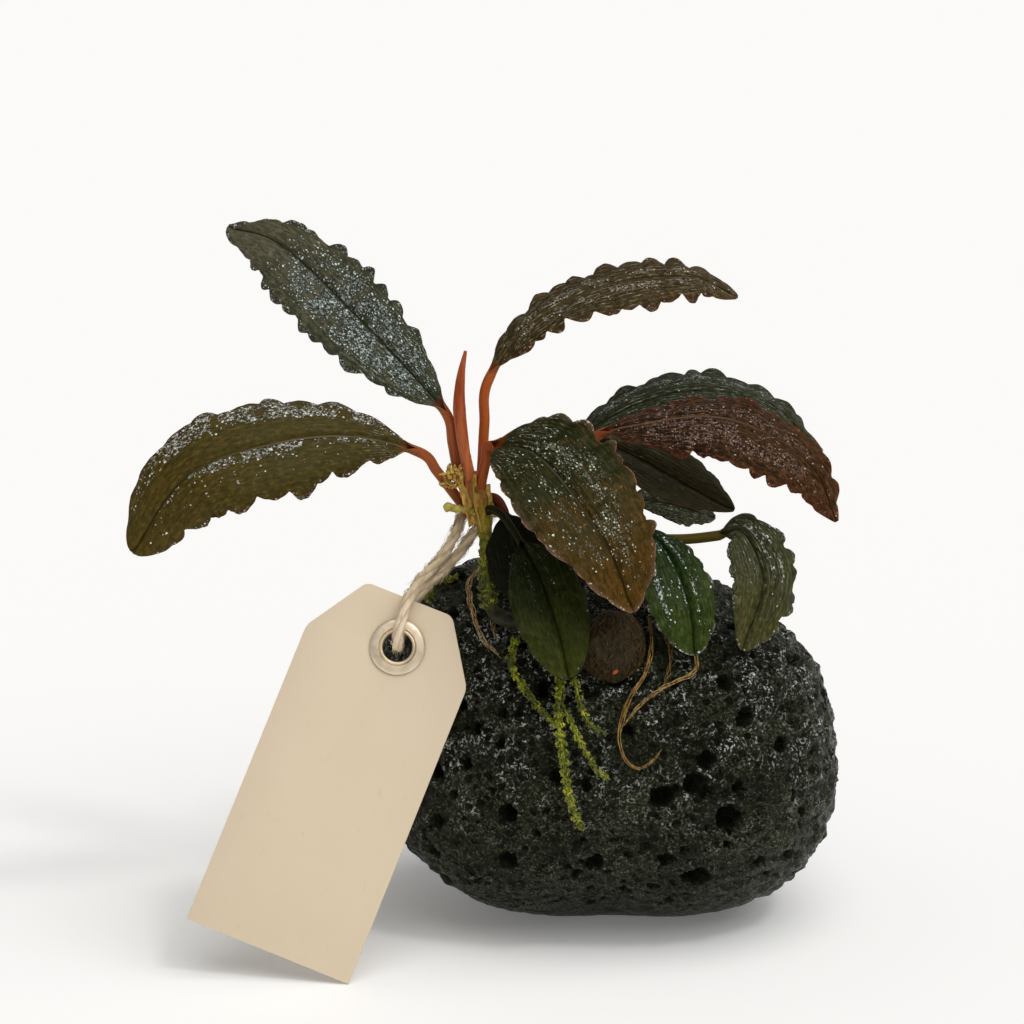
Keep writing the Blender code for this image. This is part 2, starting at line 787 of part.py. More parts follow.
def leaf_rings(leaf):
    """Rings of eight points along a leaf, from the petiole's foot to the blade's tip."""
    controls = (*leaf["petiole"], *leaf["midrib"])
    line = smooth_line(controls)
    travelled = lengths_along(line)
    steps = (len(line) - 1) // (len(controls) - 1)
    blade_start = travelled[len(leaf["petiole"]) * steps]
    blade_length = travelled[-1] - blade_start
    stations = []
    for i in range(PETIOLE_STATIONS + 1):
        stations.append((0.0, *point_at(line, travelled, blade_start * i / PETIOLE_STATIONS)))
    blade_stations = 2 * leaf["waves"]
    for i in range(1, blade_stations + 1):
        part = i / blade_stations
        stations.append((part, *point_at(line, travelled, blade_start + blade_length * part)))
    rings = []
    for (part, centre, direction), up in zip(stations, upper_sides(leaf, stations)):
        if part == 0.0:
            rings.append(petiole_ring(centre, direction, up))
        else:
            rings.append(leaf_ring(leaf, part, centre, direction, up))
    return rings


def build_leaf(name, leaf):
    """One leaf, petiole and blade in one piece."""
    solid = loft(leaf_rings(leaf), LEAF_DIAGONALS)
    mesh_object(name, solid, finish(name, LEAF_COLOURS[name], 0.35), sharp_angle=60.0)


def strand(name, points, radius, colour, tip, sides_level=1):
    """A round strand through the points, thinner at its tip."""
    curve = bpy.data.curves.new(name, "CURVE")
    curve.dimensions = "3D"
    curve.bevel_depth = radius * MM
    curve.bevel_resolution = sides_level
    curve.render_resolution_u = 0
    curve.use_fill_caps = True
    spline = curve.splines.new("POLY")
    spline.points.add(len(points) - 1)
    for i, point in enumerate(points):
        spline.points[i].co = (*(point * MM), 1.0)
        spline.points[i].radius = 1.0 + (tip - 1.0) * i / (len(points) - 1)
    return add_object(name, curve, finish(name, colour, 0.8))


def build_roots():
    for name, root in ROOTS.items():
        height = root["radius"] + 2 * GAP
        route = [on_stone_front(x, z, height) for x, z in root["route"]]
        points = [clear_of_stone(p, height) for p in even_points(route, ROOT_POINTS)]
        colour = COLOURS["moss"] if name.startswith("mossy") else COLOURS["root"]
        strand(name, points, root["radius"], colour, ROOT_TIP)


def build_moss():
    for name, moss in MOSS.items():
        height = moss["radius"] + 2 * GAP
        place = above_stone if moss["on_stone"] else clear_of_stone
        points = [place(p, height) for p in even_points(moss["route"], MOSS_POINTS)]
        colour = COLOURS["fibres"] if name == "crown_fibres" else COLOURS["moss"]
        strand(name, points, moss["radius"], colour, ROOT_TIP)


def tag_point(x, up_slope, above):
    """A point given on the tag: across, up its slope and above its back face."""
    slope = Vector((0.0, math.sin(TAG_LEAN), math.cos(TAG_LEAN)))
    normal = Vector((0.0, -math.cos(TAG_LEAN), math.sin(TAG_LEAN)))
    return TAG_CORNER + Vector((x, 0.0, 0.0)) + slope * up_slope + normal * above


def card_point(across, along, above):
    """A point given on the card: from its right edge, from its lower edge and above its back."""
    x = along * math.sin(TAG_ROLL) - across * math.cos(TAG_ROLL)
    up_slope = along * math.cos(TAG_ROLL) + across * math.sin(TAG_ROLL)
    return tag_point(x, up_slope, above)


def card_frame(across, along, above):
    """A matrix at a point of the card, its Z along the card's normal."""
    centre = card_point(across, along, above)
    right = (card_point(across - 1, along, above) - centre).normalized()
    up = (card_point(across, along + 1, above) - centre).normalized()
    turn = Matrix((right, up, right.cross(up))).transposed().to_4x4()
    return Matrix.Translation(centre) @ turn


def build_tag_card():
    """The card with cut shoulders and a hole for the eyelet."""
    shoulder_start = TAG_LENGTH - TAG_SHOULDER_LENGTH
    outline = (
        (0.0, 0.0),
        (0.0, shoulder_start),
        (TAG_SHOULDER, TAG_LENGTH),
        (TAG_WIDTH - TAG_SHOULDER, TAG_LENGTH),
        (TAG_WIDTH, shoulder_start),
        (TAG_WIDTH, 0.0),
    )
    bm = bmesh.new()
    corners = [bm.verts.new(card_point(across, along, 0.0)) for across, along in outline]
    back = bm.faces.new(corners)
    made = bmesh.ops.extrude_face_region(bm, geom=[back])["geom"]
    lift = card_point(0.0, 0.0, TAG_THICKNESS) - card_point(0.0, 0.0, 0.0)
    raised = [item for item in made if isinstance(item, bmesh.types.BMVert)]
    bmesh.ops.translate(bm, vec=lift, verts=raised)
    card = mesh_object("tag_card", bm, finish("tag_card", COLOURS["card"], 0.8))
    hole = bmesh.new()
    bmesh.ops.create_cone(
        hole,
        cap_ends=True,
        segments=TAG_HOLE_SEGMENTS,
        radius1=TAG_HOLE,
        radius2=TAG_HOLE,
        depth=8 * TAG_THICKNESS,
        matrix=card_frame(EYELET_FROM_RIGHT, TAG_LENGTH - EYELET_FROM_TOP, TAG_THICKNESS / 2),
    )
    cutter = mesh_object("tag_hole_cutter", hole, finish("cutter", COLOURS["card"], 0.8))
    cutter.hide_render = True
    cutter.display_type = "WIRE"
    cut = card.modifiers.new("hole", "BOOLEAN")
    cut.operation = "DIFFERENCE"
    cut.solver = "EXACT"
    cut.object = cutter


def build_eyelet():
    """The eyelet: a short tube with a flange over each face of the card."""
    inner = TAG_THICKNESS / 2 + EYELET_GAP
    outer = inner + EYELET_FLANGE
    barrel = EYELET_HOLE + EYELET_WALL
    profile = (
        (EYELET_HOLE, -outer),
        (EYELET_OUTER, -outer),
        (EYELET_OUTER, -inner),
        (barrel, -inner),
        (barrel, inner),
        (EYELET_OUTER, inner),
        (EYELET_OUTER, outer),
        (EYELET_HOLE, outer),
    )
    bm = bmesh.new()
    verts = [bm.verts.new((radius, 0.0, height)) for radius, height in profile]
    edges = [bm.edges.new(pair) for pair in zip(verts, verts[1:] + verts[:1])]
    bmesh.ops.spin(
        bm,
        geom=verts + edges,
        cent=(0, 0, 0),
        axis=(0, 0, 1),
        angle=2 * math.pi,
        steps=EYELET_SEGMENTS,
        use_merge=True,
    )
    place = card_frame(EYELET_FROM_RIGHT, TAG_LENGTH - EYELET_FROM_TOP, TAG_THICKNESS / 2)
    bmesh.ops.transform(bm, matrix=place, verts=bm.verts)
    mesh_object("tag_eyelet", bm, finish("tag_eyelet", COLOURS["eyelet"], 0.3, metallic=1.0))


def build_string():
    """The cotton string, one strand from end to end."""
    on_tag = [tag_point(*place) for place in STRING_ON_TAG]
    route = [*STRING_TO_TAG, *on_tag, *STRING_FROM_TAG]
    length = lengths_along(smooth_line(route))[-1]
    count = round(length / STRING_POINT_SPACING) + 1
    points = even_points(route, count)
    strand("tag_string", points, STRING_DIAMETER / 2, COLOURS["string"], 1.0, sides_level=2)


clear_scene()
build_stone()
build_knob()
build_stems()
for leaf_name, leaf_shape in LEAVES.items():
    build_leaf(leaf_name, leaf_shape)
build_roots()
build_moss()
build_tag_card()
build_eyelet()
build_string()
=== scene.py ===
import math
import random

import bmesh
import bpy
from mathutils import Matrix, Vector, kdtree, noise


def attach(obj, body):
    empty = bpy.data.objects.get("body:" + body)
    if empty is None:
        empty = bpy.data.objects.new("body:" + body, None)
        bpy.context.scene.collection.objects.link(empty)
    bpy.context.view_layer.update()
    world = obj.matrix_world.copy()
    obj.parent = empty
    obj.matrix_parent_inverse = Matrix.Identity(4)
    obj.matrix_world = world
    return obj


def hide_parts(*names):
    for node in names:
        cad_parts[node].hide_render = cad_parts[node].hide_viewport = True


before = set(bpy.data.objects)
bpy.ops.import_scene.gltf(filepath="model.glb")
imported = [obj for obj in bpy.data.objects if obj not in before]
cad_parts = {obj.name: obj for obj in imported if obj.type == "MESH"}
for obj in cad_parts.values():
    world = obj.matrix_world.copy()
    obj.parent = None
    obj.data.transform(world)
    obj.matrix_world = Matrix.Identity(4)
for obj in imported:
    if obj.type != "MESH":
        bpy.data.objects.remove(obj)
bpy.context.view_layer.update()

# A Bucephalandra rooted on a lava stone, with a bare paper tag tied on by a cotton string.
# Lengths are in millimetres unless a name says otherwise, and MM turns them into metres.
MM = 0.001


# The studio: a plain white floor that glows a little, like a light table, under a soft even sky,
# one very large soft light above the plant and a small one from the upper right that draws
# glints. The camera stands in front, a little above the plant.
CAMERA_PLACE = Vector((-19.36, -559.53, 191.85))
CAMERA_TARGET = Vector((-19.36, 0.0, 83.09))
CAMERA_LENS = 100.0
FLOOR_SIZE = 40000.0
FLOOR_COLOUR = (0.98, 0.97, 0.95)
FLOOR_GLOW = 0.12
FLOOR_GLOW_COLOUR = (1.0, 1.0, 0.99)
SKY_STRENGTH = 0.285
LAMP_DISTANCE = 600.0
# name, direction that it comes from, width in degrees, strength
LIGHTS = (
    ("soft_light", (0.34, -0.36, 0.87), 64.0, 1.72),
    ("glint_light", (0.42, -0.42, 0.80), 9.0, 0.40),
)


def new_finish(name, **values):
    """A material, with plain values set on its shader's own sockets."""
    finish = bpy.data.materials.new(name)
    finish.use_nodes = True
    shader = finish.node_tree.nodes["Principled BSDF"]
    for key, value in values.items():
        shader.inputs[key.replace("_", " ")].default_value = value
    return finish


bpy.context.scene.view_settings.view_transform = "Standard"
camera = bpy.data.objects.new("camera", bpy.data.cameras.new("camera"))
camera.data.lens = CAMERA_LENS
camera.location = CAMERA_PLACE * MM
camera.rotation_euler = (CAMERA_TARGET - CAMERA_PLACE).to_track_quat("-Z", "Y").to_euler()
bpy.context.scene.collection.objects.link(camera)
bpy.context.scene.camera = camera

for name, toward, width, strength in LIGHTS:
    light = bpy.data.lights.new(name, "SUN")
    light.angle = math.radians(width)
    light.energy = strength
    lamp = bpy.data.objects.new(name, light)
    lamp.location = Vector(toward) * LAMP_DISTANCE * MM
    lamp.rotation_euler = (-Vector(toward)).to_track_quat("-Z", "Y").to_euler()
    bpy.context.scene.collection.objects.link(lamp)

sky = bpy.data.worlds.new("sky")
sky.use_nodes = True
background = sky.node_tree.nodes["Background"]
background.inputs["Color"].default_value = (1.0, 1.0, 1.0, 1.0)
background.inputs["Strength"].default_value = SKY_STRENGTH
bpy.context.scene.world = sky

floor_mesh = bmesh.new()
bmesh.ops.create_grid(floor_mesh, x_segments=1, y_segments=1, size=FLOOR_SIZE / 2 * MM)
floor = bpy.data.objects.new("floor", bpy.data.meshes.new("floor"))
floor_mesh.to_mesh(floor.data)
floor_mesh.free()
floor_finish = new_finish(
    "floor",
    Base_Color=(*FLOOR_COLOUR, 1.0),
    Roughness=0.9,
    Specular_IOR_Level=0.0,
    Emission_Color=(*FLOOR_GLOW_COLOUR, 1.0),
    Emission_Strength=FLOOR_GLOW,
)
floor.data.materials.append(floor_finish)
bpy.context.scene.collection.objects.link(floor)


# The string: one length of soft natural cotton, three plies twisted together. It winds round the
# left stem's back, passes through the eyelet from the front and goes back into the crown.
STRING_DIAMETER = 2.1
STRING_SIDES = 24
STRING_STEP = 0.5
STRING_PLIES = 3
STRING_PLY_DEPTH = 0.30
STRING_PITCH = 5.4
STRING_FIBRES = 1200
STRING_FIBRE_RADIUS = 0.07
STRING_FIBRE_LENGTH = 2.4
# How far out from the string's middle its loose fibres start, as a share of its diameter
FIBRE_ROOTS = 0.40
STRING_COLOUR = (0.94, 0.78, 0.57)
STRING_SHADE_COLOUR = (0.86, 0.68, 0.46)
# Painted shade for the string's upper part near the crown
STRING_UPPER_SHADE_COLOUR = (0.52, 0.39, 0.21)
# Heights between which the string darkens from its own colour to painted shade
STRING_UNSHADED_BELOW = 70.0
STRING_SHADED_ABOVE = 76.0
TAG_CORNER = Vector((-50.5, -44.3, 0.0))
TAG_LEAN = math.radians(18.0)
STRING_TO_TAG = (
    (-25.0, -12.6, 84.9), (-23.3, -11.7, 85.2), (-22.5, -10.0, 85.5), (-23.0, -8.3, 86.0),
    (-24.7, -7.4, 86.4), (-26.9, -7.7, 86.4), (-28.7, -9.2, 85.4), (-29.9, -12.4, 82.7),
    (-31.5, -16.0, 79.6), (-34.2, -19.2, 76.6),
)
# Across the tag, up its slope and above its back face
STRING_ON_TAG = (
    (12.6, 76.0, 2.5), (10.6, 71.8, 2.9), (9.4, 67.6, 3.0), (9.0, 65.3, 2.2), (9.0, 64.4, 0.3),
    (9.0, 65.3, -1.6), (9.4, 67.6, -2.5), (11.0, 71.8, -2.7), (13.6, 75.6, -2.4),
)
STRING_FROM_TAG = (
    (-32.8, -17.6, 75.0), (-29.8, -15.4, 77.8), (-27.4, -12.9, 80.8), (-25.6, -11.3, 82.6),
    (-24.0, -11.6, 84.4),
)


def smooth_line(points, steps=12):
    """Points on a smooth curve through the given ones."""
    points = [Vector(point) for point in points]
    held = [points[0] * 2 - points[1], *points, points[-1] * 2 - points[-2]]
    line = []
    for before, start, end, after in zip(held, held[1:], held[2:], held[3:]):
        for step in range(steps):
            t = step / steps
            bend = (2 * before - 5 * start + 4 * end - after) * t**2
            swing = (3 * start - before - 3 * end + after) * t**3
            line.append(0.5 * (2 * start + (end - before) * t + bend + swing))
    line.append(points[-1])
    return line


def lengths_along(line):
    travelled = [0.0]
    for start, end in zip(line, line[1:]):
        travelled.append(travelled[-1] + (end - start).length)
    return travelled


def spaced(line, count):
    """Evenly spaced points along a line, each with the direction there."""
    travelled = lengths_along(line)
    places = []
    index = 1
    for i in range(count):
        distance = travelled[-1] * i / (count - 1)
        while travelled[index] < distance and index < len(line) - 1:
            index += 1
        span = travelled[index] - travelled[index - 1]
        part = (distance - travelled[index - 1]) / span
        direction = (line[index] - line[index - 1]).normalized()
        places.append((line[index - 1].lerp(line[index], part), direction))
    return places


def stations_on(points, step):
    """Centre, direction and two crosswise directions every step along a smooth line, untwisted."""
    line = smooth_line(points)
    count = max(4, round(lengths_along(line)[-1] / step) + 1)
    side = (line[1] - line[0]).orthogonal().normalized()
    stations = []
    for centre, direction in spaced(line, count):
        side = (side - direction * side.dot(direction)).normalized()
        stations.append((centre, direction, side, direction.cross(side)))
    return stations


def outward(side, up, angle):
    """The direction at an angle round a line, given its two crosswise directions."""
    return side * math.cos(angle) + up * math.sin(angle)


def add_tube(bm, stations, sides, radius_at):
    """Adds a closed tube round a line. Its UV map runs round it and along it in millimetres."""
    layer = bm.loops.layers.uv.verify()
    rows = len(stations) - 1
    made = bmesh.ops.create_grid(bm, x_segments=sides, y_segments=rows, size=1.0)["verts"]
    step = (stations[1][0] - stations[0][0]).length
    places = {}
    for vert in made:
        turn = (vert.co.x + 1) / 2
        row = round((vert.co.y + 1) / 2 * rows)
        centre, direction, side, up = stations[row]
        angle = 2 * math.pi * turn
        vert.co = centre + outward(side, up, angle) * radius_at(row / rows, angle)
        places[vert] = (angle, row * step)
    faces = {face for vert in made for face in vert.link_faces}
    for face in faces:
        for loop in face.loops:
            loop[layer].uv = places[loop.vert]
    bmesh.ops.remove_doubles(bm, verts=made, dist=1e-5)
    rims = {edge for face in faces if face.is_valid for edge in face.edges if edge.is_boundary}
    bmesh.ops.holes_fill(bm, edges=list(rims), sides=0)
    bmesh.ops.recalc_face_normals(bm, faces=[face for face in bm.faces if face.is_valid])


def place_piece(name, bm, finishes, slot, *nodes):
    """A piece from a mesh in millimetres, riding on the part and standing for its CAD nodes."""
    bmesh.ops.scale(bm, vec=(MM, MM, MM), verts=bm.verts)
    mesh = bpy.data.meshes.new(name)
    bm.to_mesh(mesh)
    bm.free()
    mesh.shade_smooth()
    for finish in finishes:
        mesh.materials.append(finish)
    made = bpy.data.objects.new(name, mesh)
    bpy.context.scene.collection.objects.link(made)
    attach(made, "root")
    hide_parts(*nodes)
    return made


def tag_point(x, up_slope, above):
    """A point given on the tag: across, up its slope and above its back face."""
    slope = Vector((0.0, math.sin(TAG_LEAN), math.cos(TAG_LEAN)))
    normal = Vector((0.0, -math.cos(TAG_LEAN), math.sin(TAG_LEAN)))
    return TAG_CORNER + Vector((x, 0.0, 0.0)) + slope * up_slope + normal * above


def string_radius(part, angle):
    """Half the string's thickness, fuller on each ply than between them."""
    twist = 2 * math.pi * part * string_length / STRING_PITCH
    ply = abs(math.cos(STRING_PLIES / 2 * (angle - twist / STRING_PLIES)))
    return STRING_DIAMETER / 2 * (1 - STRING_PLY_DEPTH * (1 - ply))


def add_node(finish, kind, inputs=None, **settings):
    """A node whose inputs are plain values or other nodes' output sockets."""
    made = finish.node_tree.nodes.new(kind)
    for key, value in settings.items():
        setattr(made, key, value)
    for key, value in (inputs or {}).items():
        if isinstance(value, bpy.types.NodeSocket):
            finish.node_tree.links.new(value, made.inputs[key])
        else:
            made.inputs[key].default_value = value
    return made


def mixed(finish, factor, first, second):
    """A colour between two, each a plain colour or a socket."""
    first = (*first, 1) if isinstance(first, tuple) else first
    second = (*second, 1) if isinstance(second, tuple) else second
    return add_node(
        finish, "ShaderNodeMix", {0: factor, 6: first, 7: second}, data_type="RGBA"
    ).outputs[2]


def ranged(finish, value, start, end, low=0.0, high=1.0):
    """A value mapped from one range to another and held inside it."""
    return add_node(
        finish, "ShaderNodeMapRange", {0: value, 1: start, 2: end, 3: low, 4: high}
    ).outputs[0]


def maths(finish, operation, first, second=0.0, third=0.0):
    return add_node(
        finish, "ShaderNodeMath", {0: first, 1: second, 2: third}, operation=operation
    ).outputs[0]


def noise_at(finish, place, scale, detail=3.0, roughness=0.5):
    return add_node(
        finish,
        "ShaderNodeTexNoise",
        {"Vector": place, "Scale": scale, "Detail": detail, "Roughness": roughness},
    ).outputs[0]


def drawn_out(finish, place, scale, turn=(0.0, 0.0, 0.0)):
    """A place scaled along each axis and turned, which draws a pattern out or squeezes it."""
    inputs = {"Vector": place, "Scale": scale, "Rotation": turn}
    return add_node(finish, "ShaderNodeMapping", inputs).outputs[0]


def object_place(finish):
    return add_node(finish, "ShaderNodeTexCoord").outputs["Object"]


def axis_of(finish, place, axis):
    return add_node(finish, "ShaderNodeSeparateXYZ", {0: place}).outputs[axis]


def relief(finish, height, distance, strength=1.0):
    """A shader's normal bent by a height pattern, whose full height is in millimetres."""
    inputs = {"Height": height, "Distance": distance * MM, "Strength": strength}
    return add_node(finish, "ShaderNodeBump", inputs).outputs[0]


def connect(finish, **sockets):
    """Leads patterns into the finish's shader, such as its Base_Color."""
    shader = finish.node_tree.nodes["Principled BSDF"]
    for key, socket in sockets.items():
        finish.node_tree.links.new(socket, shader.inputs[key.replace("_", " ")])


def cotton():
    """Undyed cotton: pale plies with painted shade in the grooves between them and fine fibres, and
    painted shade on its upper part near the plant.
    """
    finish = new_finish("cotton", Roughness=0.95, Sheen_Weight=0.35, Specular_IOR_Level=0.15)
    wrapped = add_node(finish, "ShaderNodeUVMap").outputs[0]
    slanted = drawn_out(finish, wrapped, (3.4, 0.35, 1.0), (0.0, 0.0, 0.5))
    fibres = noise_at(finish, slanted, 3.0, 4.0, 0.7)
    streaks = ranged(finish, fibres, 0.3, 0.7)
    unshaded_cotton = mixed(finish, streaks, STRING_SHADE_COLOUR, STRING_COLOUR)
    # Painted shade on the string's upper part near the crown, for the shade that falls on it there
    height = axis_of(finish, object_place(finish), "Z")
    upper_shade = ranged(finish, height, STRING_UNSHADED_BELOW * MM, STRING_SHADED_ABOVE * MM, 0.0, 0.6)
    shaded_upper = mixed(finish, upper_shade, unshaded_cotton, STRING_UPPER_SHADE_COLOUR)
    # The grooves between the plies wind with the twist, and painted shade darkens them
    turn_per_mm = -2 * math.pi / STRING_PITCH / STRING_PLIES
    wound = maths(finish, "MULTIPLY", axis_of(finish, wrapped, "Y"), turn_per_mm)
    wound = maths(finish, "ADD", wound, axis_of(finish, wrapped, "X"))
    ply = maths(finish, "COSINE", maths(finish, "MULTIPLY", wound, STRING_PLIES / 2))
    groove_shade = ranged(finish, maths(finish, "ABSOLUTE", ply), 0.0, 0.45, 0.5, 0.0)
    deep = tuple(0.35 * value for value in STRING_SHADE_COLOUR)
    whole = mixed(finish, groove_shade, shaded_upper, deep)
    connect(finish, Base_Color=whole, Normal=relief(finish, fibres, 0.15, 0.8))
    return finish


string_route = [*STRING_TO_TAG, *(tag_point(*place) for place in STRING_ON_TAG), *STRING_FROM_TAG]
string_stations = stations_on(string_route, STRING_STEP)
string_length = lengths_along([station[0] for station in string_stations])[-1]
string_mesh = bmesh.new()
add_tube(string_mesh, string_stations, STRING_SIDES, string_radius)
cotton_finish = cotton()
string = place_piece("tag_string_twisted", string_mesh, [cotton_finish], "tag_string", "tag_string")

# Loose cotton fibres that stand off the string
draw = random.Random(11)
fibre_mesh = bmesh.new()
for i in range(STRING_FIBRES):
    centre, direction, side, up = draw.choice(string_stations)
    angle = draw.uniform(0, 2 * math.pi)
    out = outward(side, up, angle)
    root = centre + out * STRING_DIAMETER * FIBRE_ROOTS
    along = direction * draw.choice((-1, 1)) * draw.uniform(0.5, 1.0)
    middle = root + (along + out * draw.uniform(0.1, 0.45)) * STRING_FIBRE_LENGTH * 0.5
    end = middle + (along + out * draw.uniform(-0.4, 0.35)) * STRING_FIBRE_LENGTH * 0.5
    fibre = stations_on((root, middle, end), STRING_FIBRE_LENGTH / 3)
    add_tube(fibre_mesh, fibre, 3, lambda part, angle: STRING_FIBRE_RADIUS * (1.2 - part))
fuzz = place_piece("tag_string_fuzz", fibre_mesh, [cotton_finish], "tag_string")


# The tag: one sheet of thick uncoated cream card with cut shoulders and softly rounded corners,
# leaning back with its lower right corner on the floor. Its face is bare.
TAG_ROLL = math.radians(21.7)
TAG_WIDTH = 33.4
TAG_LENGTH = 72.6
TAG_THICKNESS = 0.6
TAG_SHOULDER = 7.8
TAG_SHOULDER_LENGTH = 12.0
TAG_CORNER_RADIUS = 1.1
TAG_HOLE = 3.7
TAG_EDGE = 0.12
EYELET_FROM_TOP = 9.5
EYELET_FROM_RIGHT = 15.4
CARD_COLOUR = (0.72, 0.59, 0.42)
CARD_PALE_COLOUR = (0.77, 0.64, 0.47)
CARD_FLECK_COLOUR = (0.60, 0.50, 0.37)


def card_frame():
    """The card's own axes at its lower right corner: X to the right, Y up along it, Z out of it."""
    corner = tag_point(0.0, 0.0, 0.0)
    right = tag_point(1.0, 0.0, 0.0) - corner
    up = tag_point(0.0, 1.0, 0.0) - corner
    turn = Matrix((right, up, right.cross(up))).transposed().to_4x4()
    return Matrix.Translation(corner) @ turn @ Matrix.Rotation(-TAG_ROLL, 4, "Z")


def card():
    """Uncoated card: warm cream with faint clouds, short fibre flecks and a soft tooth."""
    finish = new_finish("card", Roughness=0.85, Specular_IOR_Level=0.2)
    place = object_place(finish)
    cream = mixed(finish, noise_at(finish, place, 70.0), CARD_COLOUR, CARD_PALE_COLOUR)
    slanted = drawn_out(finish, place, (900.0, 900.0, 160.0), (0.0, 0.6, 0.0))
    flecks = ranged(finish, noise_at(finish, slanted, 1.0, 2.0), 0.66, 0.78, 0.0, 0.35)
    face = mixed(finish, flecks, cream, CARD_FLECK_COLOUR)
    tooth = noise_at(finish, place, 2600.0)
    connect(finish, Base_Color=face, Normal=relief(finish, tooth, 0.04, 0.6))
    return finish


card_outline = (
    (0.0, 0.0), (0.0, TAG_LENGTH - TAG_SHOULDER_LENGTH), (-TAG_SHOULDER, TAG_LENGTH),
    (TAG_SHOULDER - TAG_WIDTH, TAG_LENGTH), (-TAG_WIDTH, TAG_LENGTH - TAG_SHOULDER_LENGTH),
    (-TAG_WIDTH, 0.0),
)
card_mesh = bmesh.new()
corners = [card_mesh.verts.new((x, y, 0.0)) for x, y in card_outline]
card_mesh.faces.new(corners)
bmesh.ops.bevel(
    card_mesh,
    geom=corners[1:5],
    offset=TAG_CORNER_RADIUS,
    affect="VERTICES",
    segments=4,
    profile=0.5,
    material=-1,
)
bmesh.ops.delete(card_mesh, geom=card_mesh.faces[:], context="FACES_ONLY")
bmesh.ops.create_circle(
    card_mesh,
    segments=48,
    radius=TAG_HOLE,
    matrix=Matrix.Translation((-EYELET_FROM_RIGHT, TAG_LENGTH - EYELET_FROM_TOP, 0.0)),
)
bmesh.ops.triangle_fill(card_mesh, edges=card_mesh.edges[:], use_beauty=True, use_dissolve=False)
front = bmesh.ops.extrude_face_region(card_mesh, geom=card_mesh.faces[:])["geom"]
raised = [item for item in front if isinstance(item, bmesh.types.BMVert)]
bmesh.ops.translate(card_mesh, verts=raised, vec=(0.0, 0.0, TAG_THICKNESS))
bmesh.ops.recalc_face_normals(card_mesh, faces=card_mesh.faces[:])
rims = [edge for edge in card_mesh.edges if edge.calc_face_angle() > 1.0]
rims = [edge for edge in rims if abs(edge.verts[0].co.z - edge.verts[1].co.z) < 0.01]
bmesh.ops.bevel(
    card_mesh,
    geom=rims,
    offset=TAG_EDGE,
    affect="EDGES",
    segments=2,
    profile=0.5,
    material=-1,
)
bmesh.ops.transform(card_mesh, matrix=card_frame(), verts=card_mesh.verts)
tag = place_piece("tag_card_bare", card_mesh, [card()], "tag_card", "tag_card")
tag.data.set_sharp_from_angle(angle=math.radians(30))


# The eyelet: a pale plated ring clenched over both faces of the card, its flanges lightly domed
# and its mouth rolled over into the hole.
EYELET_OUTER = 5.4
EYELET_HOLE = 2.9
EYELET_BARREL = 3.3
EYELET_INNER_FACE = 0.6
EYELET_LIP = 0.30
EYELET_LIP_RISE = 0.1
# The flange starts this far outside the hole and stands this high over the card's face
EYELET_FLANGE_START = 0.6
EYELET_FLANGE_RISE = 0.38
EYELET_STEPS = 72
PLATE_COLOUR = (0.86, 0.74, 0.56)
TARNISH_COLOUR = (0.52, 0.42, 0.28)


def plated_metal():
    """Pale champagne plating with fine turning marks and a little tarnish."""
    finish = new_finish("plated_metal", Metallic=1.0)
    place = object_place(finish)
    marks = noise_at(finish, place, 1500.0, 4.0)
    tarnish = ranged(finish, noise_at(finish, place, 320.0), 0.45, 0.75, 0.0, 0.6)
    connect(
        finish,
        Base_Color=mixed(finish, tarnish, PLATE_COLOUR, TARNISH_COLOUR),
        Roughness=ranged(finish, marks, 0.3, 0.7, 0.42, 0.62),
        Normal=relief(finish, marks, 0.03, 0.5),
    )
    return finish


# Radius and height, from the hole over the lip and the flange to the rim
half_profile = [(EYELET_HOLE, 0.0), (EYELET_HOLE, EYELET_INNER_FACE)]
for i in range(1, 7):
    angle = math.pi / 6 * i
    radius = EYELET_HOLE + EYELET_LIP * (1.0 - math.cos(angle))
    half_profile.append((radius, EYELET_INNER_FACE + EYELET_LIP_RISE + EYELET_LIP * math.sin(angle)))
for i in range(1, 8):
    part = i / 8
    start = EYELET_HOLE + EYELET_FLANGE_START
    rise = EYELET_FLANGE_RISE * math.cos(part * math.pi / 2) ** 0.5
    radius = start + (EYELET_OUTER - start) * part
    half_profile.append((radius, EYELET_INNER_FACE + EYELET_LIP_RISE + rise))
half_profile.append((EYELET_OUTER, EYELET_INNER_FACE))
half_profile.append((EYELET_BARREL, EYELET_INNER_FACE))
ring_profile = half_profile + [(radius, -height) for radius, height in reversed(half_profile[1:])]
eyelet_mesh = bmesh.new()
ring_verts = [eyelet_mesh.verts.new((radius, 0.0, height)) for radius, height in ring_profile]
ring_pairs = zip(ring_verts, ring_verts[1:] + ring_verts[:1])
ring_edges = [eyelet_mesh.edges.new(pair) for pair in ring_pairs]
bmesh.ops.spin(
    eyelet_mesh,
    geom=ring_verts + ring_edges,
    cent=(0, 0, 0),
    axis=(0, 0, 1),
    angle=2 * math.pi,
    steps=EYELET_STEPS,
    use_merge=True,
)
bmesh.ops.recalc_face_normals(eyelet_mesh, faces=eyelet_mesh.faces[:])
eyelet_centre = Vector((-EYELET_FROM_RIGHT, TAG_LENGTH - EYELET_FROM_TOP, TAG_THICKNESS / 2))
bmesh.ops.transform(
    eyelet_mesh, matrix=card_frame() @ Matrix.Translation(eyelet_centre), verts=eyelet_mesh.verts
)
eyelet = place_piece("tag_eyelet_ring", eyelet_mesh, [plated_metal()], "tag_eyelet", "tag_eyelet")
eyelet.data.set_sharp_from_angle(angle=math.radians(50))


# The stone: one piece of black vesicular lava, open pits all over it, its skin cindery and wet,
# with painted glints. It stands on a small flat foot.
STONE_CENTRE = Vector((0.0, 0.0, 34.0))
STONE_WIDTH = 92.0
STONE_DEPTH = 76.0
STONE_TOP = 39.5
STONE_BOTTOM = 35.5
STONE_SIDE_POWER = 2.6
STONE_SECTION_POWER = 2.05
STONE_UNEVEN = 0.9
STONE_UNEVEN_PITCH = 2.6
STONE_CUTS = 127
